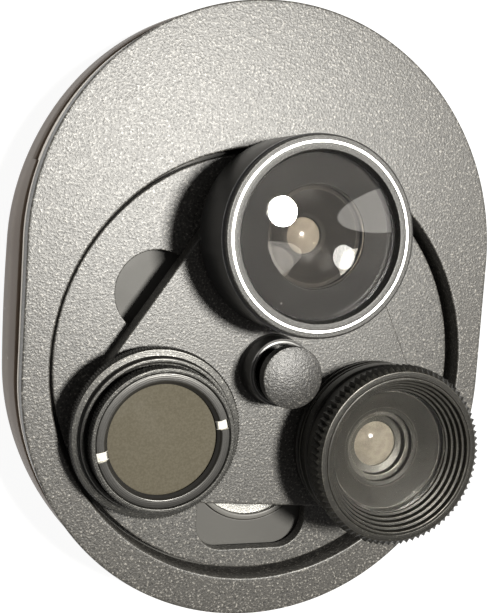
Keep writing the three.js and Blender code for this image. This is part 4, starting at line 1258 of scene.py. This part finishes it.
@dataclass
class Fisheye:
    """Fisheye lens: satin barrel, blasted front ring with a bright line, and domed glass over dark parts."""

    effects: Effects
    spigot: float = 7.7
    thread_pitch: float = 0.5
    thread_depth: float = 0.28
    throat: float = 3.7
    seat_z: float = 17.35
    floor_z: float = 18.35
    bore: float = 11.63
    ring_bore: float = 10.63
    line_radius: float = 11.9
    line_width: float = 0.36
    aperture: float = 6.1
    glass_edge: float = 0.9
    second_radius: float = 6.6
    dish_depth: float = 0.65
    stop_radius: float = 2.5
    stop_z: float = 21.05
    third_play: float = 0.05
    third_depth: float = 1.2
    third_sink: float = 0.5
    third_rise: float = 0.7
    rear_edge: float = 0.8
    rear_rise: float = 0.85

    def __post_init__(self) -> None:
        """Takes the lens's axis and heights from the frame."""
        self.barrel = Place.of("fisheye_barrel")
        self.ring = Place.of("fisheye_front_ring")
        self.glass = Place.of("fisheye_front_glass")
        self.centre = self.barrel.centre

    def build(self) -> None:
        """Builds every piece of the lens."""
        self.drum()
        self.front_ring()
        self.optics()

    def drum(self) -> None:
        """The barrel with its threaded spigot."""
        b = self.barrel
        half = self.thread_pitch / 2
        thread = [(self.spigot - self.thread_depth * (k % 2), b.z0 + 0.2 + k * half, 0.0)
                  for k in range(1, int((self.seat_z - b.z0 - 0.5) / half))]
        skin = Skin("fisheye_drum").lathe(self.centre, [
            (self.throat, b.z0, 0.1), (self.spigot, b.z0, 0.15), *thread,
            (self.spigot - 0.3, self.seat_z, 0.02), (b.radius - 0.35, self.seat_z, 0.0),
            (b.radius, self.seat_z + 0.3, 0.14), (b.radius, b.z1 - 0.35, 0.1),
            (b.radius - 0.3, b.z1, 0.1), (self.bore, b.z1, 0.1), (self.bore, self.floor_z, 0.2),
            (self.throat, self.floor_z, 0.1)], 240)
        finish = SmoothPlastic("drum_satin", (0.011, 0.011, 0.012), (0.016, 0.016, 0.016), (0.28, 0.42),
                               (0.34, 0.335, 0.33), 0.85, 0.3, 0.004)
        skin.build(Body.CARRIER, Slot.BLACK_PLASTIC, finish.make(self.effects), "fisheye_barrel")

    def front_ring(self) -> None:
        """The front ring and the bright line let into its face."""
        r, ring = self.ring.radius, self.ring
        seat = self.barrel.z1 + 0.05
        skin = Skin("fisheye_face_ring").lathe(self.centre, [
            (self.ring_bore, ring.z0, 0.1), (self.ring_bore + 0.7, ring.z0, 0.1),
            (self.ring_bore + 0.7, seat, 0.02),
            (r, seat, 0.1), (r, ring.z1 - 0.12, 0.12), (r - 0.2, ring.z1, 0.12),
            (self.line_radius + 0.4, ring.z1 - 0.02, 0.02), (self.line_radius - 0.4, ring.z1 - 0.02, 0.02),
            (self.ring_bore + 0.28, ring.z1 - 0.04, 0.08), (self.ring_bore, ring.z1 - 0.75, 0.1)], 256)
        # The second colour is a painted glint on the ring's blasted grain.
        finish = BlackMetal("face_ring_blasted", self.centre, (0.016, 0.0156, 0.0145), (0.085, 0.083, 0.077),
                            glint_strength=0.9, wear=0.15, depth=0.075, roughness=(0.34, 0.5))
        skin.build(Body.CARRIER, Slot.BLACK_METAL, finish.make(self.effects), "fisheye_front_ring")
        half = self.line_width / 2
        line = Skin("fisheye_bright_line").lathe(self.centre, [
            (self.line_radius - half, ring.z1 - 0.15, 0), (self.line_radius + half, ring.z1 - 0.15, 0),
            (self.line_radius + half, ring.z1, 0.05), (self.line_radius - half, ring.z1, 0.05)], 256)
        silver = PlainMetal("bright_cut_line", (0.9, 0.9, 0.88), (0.78, 0.78, 0.76), self.centre, (0.4, 0.5))
        line.build(Body.CARRIER, Slot.SILVER_LINE, silver.make(self.effects))

    def optics(self) -> None:
        """Domed front glass, black cell, and the second, third and rear lenses."""
        cone, second = Place.of("fisheye_inner_cone"), Place.of("fisheye_second_glass")
        glass = self.glass
        radius = self.ring_bore - 0.03
        rim = glass.z0 + self.glass_edge
        front = Skin("fisheye_front_pane").meniscus(self.centre, radius, glass.z0, rim, glass.z1 - rim,
                                                    48, 256)
        clear = Glass("front_pane_glass", (0.95, 0.95, 0.95), Clarity.CLEAR, 1.52, roughness=(0.0, 0.02))
        piece = front.build(Body.CARRIER, Slot.LENS_GLASS, clear.make(self.effects), "fisheye_front_glass")
        piece.visible_shadow = False
        wide, low, high = self.bore - 0.1, cone.z0, cone.z1
        seat = second.z0 - 0.04
        skin = Skin("fisheye_black_cell").lathe(self.centre, [
            (self.stop_radius, low, 0.1), (wide, low, 0.1), (wide, high, 0.1),
            (self.second_radius + 0.05, high, 0.15), (self.second_radius + 0.05, seat, 0.05),
            (self.aperture, seat, 0.1), (self.aperture - 0.8, seat - 0.9, 0.2),
            (self.stop_radius + 0.5, self.stop_z + 0.1, 0.2), (self.stop_radius, self.stop_z, 0.1)], 192)
        black = SmoothPlastic("cell_black", (0.005, 0.0047, 0.0042), (0.007, 0.0066, 0.0059), (0.7, 0.85),
                              (0.04, 0.04, 0.037), 0.5, shine=0.06)
        skin.build(Body.CARRIER, Slot.BLACK_PLASTIC, black.make(self.effects), "fisheye_inner_cone")
        inner = Skin("fisheye_second_lens").lens(self.centre, self.second_radius, second.z0, second.z1,
                                                 -self.dish_depth, 32, 192)
        pale = Glass("second_lens_glass", (0.9, 0.86, 0.8), Clarity.CLEAR, 1.75, roughness=(0.0, 0.05))
        piece = inner.build(Body.CARRIER, Slot.LENS_GLASS, pale.make(self.effects), "fisheye_second_glass")
        piece.visible_shadow = False
        third = Skin("fisheye_third_lens").lens(
            self.centre, self.stop_radius - self.third_play, self.stop_z - self.third_depth,
            self.stop_z - self.third_sink, self.third_rise, 16, 96)
        grey = Glass("third_lens_glass", (0.06, 0.054, 0.046), Clarity.DEEP, 1.6, roughness=(0.08, 0.18),
                     mottle=0.4)
        third.build(Body.CARRIER, Slot.LENS_GLASS, grey.make(self.effects))
        rear = Place.of("fisheye_rear_glass")
        back = Skin("fisheye_rear_lens").lens(self.centre, rear.radius, rear.z0, rear.z0 + self.rear_edge,
                                              self.rear_rise, 16, 96, 0.1)
        back.build(Body.CARRIER, Slot.LENS_GLASS,
                   Glass("rear_lens_glass", (0.9, 0.92, 0.92)).make(self.effects), "fisheye_rear_glass")


@dataclass
class Polariser:
    """Circular polariser: toothed base, and a turning ring that holds the glass and its retaining ring."""

    effects: Effects
    spigot: float = 7.7
    spigot_bore: float = 5.8
    seat_z: float = 17.35
    base_top: float = 20.1
    boss_radius: float = 10.1
    boss_top: float = 21.2
    tail: float = 8.42
    tail_z: float = 18.4
    bore: float = 8.72
    seat: float = 8.65
    opening: float = 7.05
    turn_gap: float = 0.3
    tooth_depth: float = 0.2
    base_teeth: int = 180
    ring_teeth: int = 140
    lip: float = 7.6
    notch_angle: float = 14.0
    notch_width: float = 1.3

    def __post_init__(self) -> None:
        """Takes the polariser's axis and heights from the frame."""
        self.base = Place.of("polariser_base")
        self.ring = Place.of("polariser_turning_ring")
        self.pane = Place.of("polariser_glass")
        self.retainer = Place.of("polariser_retaining_ring")
        self.centre = self.base.centre

    def build(self) -> None:
        """Builds every piece of the polariser."""
        # The second colour is a painted glint on the polariser's blasted grain.
        metal = BlackMetal("polariser_black", self.centre, (0.02, 0.0195, 0.0175), (0.13, 0.127, 0.115),
                           (0.13, 0.127, 0.118), glint_strength=0.8).make(self.effects)
        self.toothed_base(metal)
        self.turning_ring(metal)
        self.glass_and_retainer()

    def toothed_base(self, metal: bpy.types.Material) -> None:
        """The base: fine teeth round the flange, a smooth neck, a boss, and a plain spigot."""
        b, top, tail_z = self.base, self.base_top, self.tail_z
        teeth = Teeth(self.base_teeth, self.tooth_depth, self.seat_z + 1.0, top - 0.2, b.radius - 0.3)
        skin = Skin("polariser_toothed_base").lathe(self.centre, [
            (self.spigot_bore, b.z0, 0.1), (self.spigot, b.z0, 0.1), (self.spigot, self.seat_z, 0.02),
            (b.radius - 0.7, self.seat_z, 0.15), (b.radius - 0.7, self.seat_z + 0.8, 0.05),
            (b.radius - 0.25, self.seat_z + 0.9, 0.0), (b.radius, self.seat_z + 1.1, 0.0),
            (b.radius, top - 0.25, 0.0), (b.radius - 0.28, top, 0.05), (self.boss_radius + 0.15, top, 0.1),
            (self.boss_radius, top + 0.2, 0.1), (self.boss_radius, self.boss_top, 0.14),
            (self.boss_radius - 0.5, self.boss_top, 0.1),
            (self.boss_radius - 0.62, self.boss_top - 0.5, 0.08),
            (self.bore, self.boss_top - 0.5, 0.1), (self.bore, tail_z, 0.1), (self.spigot_bore, tail_z, 0.1)],
            teeth=teeth)
        skin.build(Body.CARRIER, Slot.BLACK_METAL, metal, "polariser_base")

    def turning_ring(self, metal: bpy.types.Material) -> None:
        """The turning ring: fine teeth round the outside and a bevel down to the glass's seat."""
        r, ring = self.ring.radius, self.ring
        foot = self.boss_top + self.turn_gap
        teeth = Teeth(self.ring_teeth, self.tooth_depth, foot + 0.2, ring.z1 - 0.12, r - 0.3)
        skin = Skin("polariser_turning_rim").lathe(self.centre, [
            (self.opening, ring.z0, 0.1), (self.tail, ring.z0, 0.1), (self.tail, foot, 0.05),
            (r - 0.3, foot, 0.1), (r, foot + 0.25, 0.0), (r, ring.z1 - 0.15, 0.0), (r - 0.2, ring.z1, 0.03),
            (self.seat + 0.12, ring.z1, 0.06), (self.seat, ring.z1 - 0.15, 0.05),
            (self.seat, self.pane.z0, 0.05), (self.opening, self.pane.z0, 0.1)], teeth=teeth)
        skin.build(Body.POLARISER_RING, Slot.BLACK_METAL, metal, "polariser_turning_ring")

    def glass_and_retainer(self) -> None:
        """The polarising glass and the notched ring over it."""
        pane, keep = self.pane, self.retainer
        radius = self.seat - 0.05
        glass = Skin("polariser_pane").lathe(self.centre, [
            (0, pane.z0 + 0.02, 0), (radius, pane.z0 + 0.02, 0.05), (radius, pane.z1, 0.15), (0, pane.z1, 0)],
            192, closed=False)
        finish = Glass("polarising_film", (0.066, 0.059, 0.0425), Clarity.DEEP, 1.5, roughness=(0.06, 0.2),
                       mottle=0.32, mottle_scale=3600.0)
        glass.build(Body.POLARISER_RING, Slot.POLARISING_GLASS, finish.make(self.effects), "polariser_glass")
        profile, edge = rounded([
            (self.opening + 0.05, keep.z0, 0.05), (radius, keep.z0, 0.05), (radius, keep.z1, 0.08),
            (self.lip, keep.z1, 0.1), (self.lip - 0.15, keep.z0 + 0.35, 0.05)], 4, True)
        angle = np.linspace(0, 2 * np.pi, 720, endpoint=False)
        across = np.abs(np.sin(angle - math.radians(self.notch_angle)) * self.seat)
        notch = np.clip((self.notch_width / 2 - across) / 0.1, 0, 1)
        lowest = keep.z0 + 0.2
        rows = profile[:, 1:2]
        z = rows - np.maximum(rows - lowest, 0) * notch[None, :]
        flat = Circle(*self.centre, 0.0, 720).at(profile[:, :1], profile[:, :1])
        skin = Skin("polariser_notched_ring")
        # The notches are set to 1 in the edge value, so the near-white worn colour paints a highlight in
        # them; the other edges get a little wear.
        notch_highlight = 4 * notch * (1 - notch) + notch * (rows > lowest)
        skin.grid(np.concatenate([flat, z[..., None]], -1), np.maximum(notch_highlight, 0.15 * edge[:, None]), True)
        # The near-white worn colour is painted highlight in the notches and wear on the edges; the second
        # colour is a painted glint.
        metal = BlackMetal("retainer_black", self.centre, (0.03, 0.029, 0.027), (0.08, 0.078, 0.072),
                           (0.85, 0.83, 0.76), glint_strength=0.3, wear=1.0, depth=0.004, roughness=(0.25, 0.35))
        skin.build(Body.POLARISER_RING, Slot.BLACK_METAL, metal.make(self.effects),
                   "polariser_retaining_ring")


@dataclass
class WideLens:
    """Wide-angle lens on a macro base: coarse teeth, a stepped front ring and glass over a conical cell."""

    effects: Effects
    spigot: float = 7.7
    seat_z: float = 17.35
    tooth_count: int = 84
    tooth_tip: float = 12.3
    tooth_depth: float = 0.5
    band_low: float = 24.2
    neck: float = 11.65
    opening: float = 8.54
    step_width: float = 0.45
    step_height: float = 0.65
    step_count: int = 4
    ring_rim: float = 0.4
    throat: float = 4.9
    dome_height: float = 0.4
    macro_edge: float = 0.6
    macro_lip: float = 3.15
    lip_z: float = 18.8
    nose: float = 9.0
    nose_play: float = 0.3

    def __post_init__(self) -> None:
        """Takes the lens's axis and heights from the frame."""
        self.barrel = Place.of("wide_barrel")
        self.macro = Place.of("macro_base")
        self.front = Place.of("wide_front_ring")
        self.centre = self.barrel.centre

    def build(self) -> None:
        """Builds every piece of the lens."""
        # The second colour is a painted glint on the lens's blasted grain.
        metal = BlackMetal("wide_black", self.centre, (0.014, 0.0132, 0.011), (0.11, 0.104, 0.086),
                           (0.11, 0.104, 0.088), glint_strength=0.55, wear=0.7).make(self.effects)
        self.macro_base(metal)
        self.toothed_barrel(metal)
        self.stepped_ring(metal)
        self.optics()

    def macro_base(self, metal: bpy.types.Material) -> None:
        """The macro base: spigot, flange with a shallow groove, and the nose that the barrel screws on."""
        m = self.macro
        flange = self.barrel.z0 - 0.25
        skin = Skin("macro_base_ring").lathe(self.centre, [
            (3.0, m.z0, 0.1), (self.spigot, m.z0, 0.1), (self.spigot, self.seat_z, 0.02),
            (self.neck - 0.2, self.seat_z, 0.2), (self.neck - 0.05, self.seat_z + 0.8, 0.1),
            (self.neck - 0.35, self.seat_z + 1.0, 0.08), (self.neck - 0.35, flange - 0.7, 0.08),
            (self.neck, flange - 0.5, 0.1), (self.neck, flange, 0.15),
            (self.nose, flange, 0.05), (self.nose, m.z1, 0.1),
            (4.2, m.z1, 0.15), (4.2, self.lip_z + 0.25, 0.08), (self.macro_lip, self.lip_z + 0.15, 0.1),
            (self.macro_lip, self.lip_z, 0.05), (4.1, self.lip_z, 0.05), (4.1, self.seat_z, 0.1),
            (3.0, self.seat_z, 0.1)], 200)
        skin.build(Body.CARRIER, Slot.BLACK_METAL, metal, "macro_base")
        place = Place.of("macro_glass")
        edge = place.z0 + self.macro_edge
        lens = Skin("macro_lens").lens(self.centre, place.radius, place.z0, edge, place.z1 - edge, 32, 160)
        # The lens is opaque; its pale brown colour is painted light: the surface beneath it, lit by light
        # that the lens focuses.
        focused_light_glass = Glass("macro_lens_painted_focused_light", (0.062, 0.055, 0.045), Clarity.DEEP, 1.55,
                      roughness=(0.06, 0.16), mottle=0.6)
        lens.build(Body.CARRIER, Slot.LENS_GLASS, focused_light_glass.make(self.effects), "macro_glass")

    def toothed_barrel(self, metal: bpy.types.Material) -> None:
        """The barrel: a smooth neck and a band of coarse pointed teeth at the front."""
        b, tip, bore = self.barrel, self.tooth_tip, self.nose + self.nose_play
        inner = self.opening + self.step_width * self.step_count + self.ring_rim + 0.05
        teeth = Teeth(self.tooth_count, self.tooth_depth, self.band_low + 0.1, b.z1 - 0.2, self.neck + 0.1,
                      per_tooth=6)
        skin = Skin("wide_toothed_barrel").lathe(self.centre, [
            (bore, b.z0, 0.1), (self.neck, b.z0, 0.15), (self.neck, b.z0 + 1.6, 0.05),
            (self.neck - 0.25, b.z0 + 1.8, 0.05),
            (self.neck - 0.25, self.band_low - 0.4, 0.05), (self.neck, self.band_low - 0.2, 0.02),
            (self.neck, self.band_low, 0.0), (tip, self.band_low + 0.35, 0.0), (tip, b.z1 - 0.45, 0.0),
            (self.neck - 0.1, b.z1, 0.05), (inner, b.z1, 0.05), (inner, b.z0 + 1.0, 0.1),
            (bore, b.z0 + 1.0, 0.1)], teeth=teeth)
        skin.build(Body.CARRIER, Slot.BLACK_METAL, metal, "wide_barrel")

    def stepped_ring(self, metal: bpy.types.Material) -> None:
        """The front ring: four steps that go down to the glass, each with a rounded crest."""
        front = self.front
        outer = self.opening + self.step_width * self.step_count
        steps: list[tuple[float, float, float]] = []
        for k in range(self.step_count):
            radius, z = outer - self.step_width * k, front.z1 - self.step_height * k
            steps += [(radius, z, 0.12), (radius - 0.12, z - self.step_height, 0.1)]
        skin = Skin("wide_stepped_ring").lathe(self.centre, [
            (self.opening, front.z0, 0.05), (outer + self.ring_rim, front.z0, 0.05),
            (outer + self.ring_rim, front.z1, 0.1), *steps,
            (self.opening, front.z1 - self.step_height * self.step_count, 0.08)], 256)
        skin.build(Body.CARRIER, Slot.BLACK_METAL, metal, "wide_front_ring")

    def optics(self) -> None:
        """Front glass and conical cell."""
        front, cone = Place.of("wide_front_glass"), Place.of("wide_inner_cone")
        radius = self.opening - 0.03
        glass = Skin("wide_front_lens").meniscus(self.centre, radius, front.z0, front.z1 - self.dome_height,
                                                 self.dome_height, 40, 224)
        clear = Glass("wide_front_glass_clear", (0.93, 0.92, 0.88), Clarity.CLEAR, 1.52,
                      roughness=(0.0, 0.02))
        piece = glass.build(Body.CARRIER, Slot.LENS_GLASS, clear.make(self.effects), "wide_front_glass")
        piece.visible_shadow = False
        low = cone.z0
        skin = Skin("wide_conical_cell").lathe(self.centre, [
            (self.throat, low, 0.05), (self.nose, low, 0.05), (self.nose, cone.z1, 0.05),
            (radius - 0.4, cone.z1, 0.05),
            (self.throat + 0.7, low + 0.75, 0.1), (self.throat + 0.55, low + 0.6, 0.05),
            (self.throat + 0.05, low + 0.45, 0.08)], 192)
        black = SmoothPlastic("wide_cell_black", (0.0065, 0.0062, 0.0054), (0.009, 0.0085, 0.0074),
                              (0.5, 0.65), (0.06, 0.057, 0.052), 0.8, shine=0.1)
        skin.build(Body.CARRIER, Slot.BLACK_PLASTIC, black.make(self.effects), "wide_inner_cone")


# ---------------------------------------------------------------- studio

@dataclass(frozen=True)
class Lamp:
    """A round or oval face of light, aimed at the object; sizes and places in millimetres."""

    name: str
    place: tuple[float, float, float]
    target: tuple[float, float, float]
    size: tuple[float, float]
    watts: float
    colour: Colour = (1.0, 1.0, 1.0)

    def make(self) -> None:
        """Makes the light."""
        data = bpy.data.lights.new(self.name, "AREA")
        data.shape = "ELLIPSE"
        data.size, data.size_y = self.size[0] * MM, self.size[1] * MM
        data.energy, data.color = self.watts, self.colour
        lamp = bpy.data.objects.new(self.name, data)
        bpy.context.scene.collection.objects.link(lamp)
        place, target = Vector(self.place) * MM, Vector(self.target) * MM
        aim = (target - place).to_track_quat("-Z", "Y").to_matrix().to_4x4()
        lamp.matrix_world = Matrix.Translation(place) @ aim
        lamp.visible_camera = False


@dataclass
class Studio:
    """Floor, lights and camera."""

    floor_radius: float = 1600.0
    floor_sides: int = 64
    lens: float = 55.736
    sensor: float = 36.0
    camera_place: tuple[float, float, float] = (-48.545, 20.437, 135.972)
    camera_right: tuple[float, float, float] = (0.93815, 0.06472, 0.34014)
    camera_up: tuple[float, float, float] = (-0.02826, 0.99341, -0.1111)
    camera_back: tuple[float, float, float] = (-0.34508, 0.09462, 0.93379)
    lamps: tuple[Lamp, ...] = (
        Lamp("key", (97.0, 59.0, 455.0), (0, 5, 20), (63, 63), 4.9, (1.0, 0.975, 0.915)),
        Lamp("soft_right", (300, 70, 280), (0, 0, 16), (80, 300), 0.14, (1.0, 0.96, 0.9)),
    )

    def build(self) -> None:
        """Sets the stage."""
        self.floor()
        self.world()
        for lamp in self.lamps:
            lamp.make()
        self.camera()

    def floor(self) -> None:
        """A round white floor under the object, which lets light and sight through from below."""
        angle = np.linspace(0, 2 * np.pi, self.floor_sides, endpoint=False)
        points = self.floor_radius * MM * np.stack([np.cos(angle), np.sin(angle), 0 * angle], -1)
        mesh = bpy.data.meshes.new("floor")
        mesh.from_pydata(points.tolist(), [], [tuple(range(self.floor_sides))])
        floor = bpy.data.objects.new("floor", mesh)
        bpy.context.scene.collection.objects.link(floor)
        shader = Shader("floor_white", {"Base Color": (0.12, 0.12, 0.118), "Roughness": 1.0,
                                        "Emission Color": (1.0, 1.0, 1.0), "Emission Strength": 0.93})
        tree = shader.tree
        clear = tree.nodes.new("ShaderNodeBsdfTransparent")
        behind = tree.nodes.new("ShaderNodeNewGeometry")
        mix = tree.nodes.new("ShaderNodeMixShader")
        tree.links.new(behind.outputs["Backfacing"], mix.inputs[0])
        tree.links.new(shader.principled.outputs[0], mix.inputs[1])
        tree.links.new(clear.outputs[0], mix.inputs[2])
        tree.links.new(mix.outputs[0], tree.nodes["Material Output"].inputs["Surface"])
        mesh.materials.append(shader.material)

    def world(self) -> None:
        """An even pale surrounding."""
        world = bpy.data.worlds.new("surrounding")
        world.use_nodes = True
        shade = world.node_tree.nodes["Background"]
        shade.inputs["Color"].default_value = (1.0, 0.975, 0.94, 1.0)
        shade.inputs["Strength"].default_value = 0.2
        scene = bpy.context.scene
        scene.world = world
        scene.view_settings.view_transform = "Standard"
        scene.view_settings.look = "None"

    def camera(self) -> None:
        """The camera, above and to the left of the object."""
        data = bpy.data.cameras.new("camera")
        data.sensor_width, data.lens = self.sensor, self.lens
        data.clip_start, data.clip_end = 0.001, 10.0
        camera = bpy.data.objects.new("camera", data)
        bpy.context.scene.collection.objects.link(camera)
        turn = Matrix((self.camera_right, self.camera_up, self.camera_back)).transposed().to_4x4()
        camera.matrix_world = Matrix.Translation(Vector(self.camera_place) * MM) @ turn
        bpy.context.scene.camera = camera


def main() -> None:
    logging.basicConfig(level=logging.INFO, format="%(name)s %(message)s")
    effects = Effects()
    Studio().build()
    for assembly in (Housing, WindowDisc, LensCarrier, Knob, Fisheye, Polariser, WideLens):
        assembly(effects).build()
        log.info("%s done", assembly.__name__)


if __name__ == "__main__":
    main()
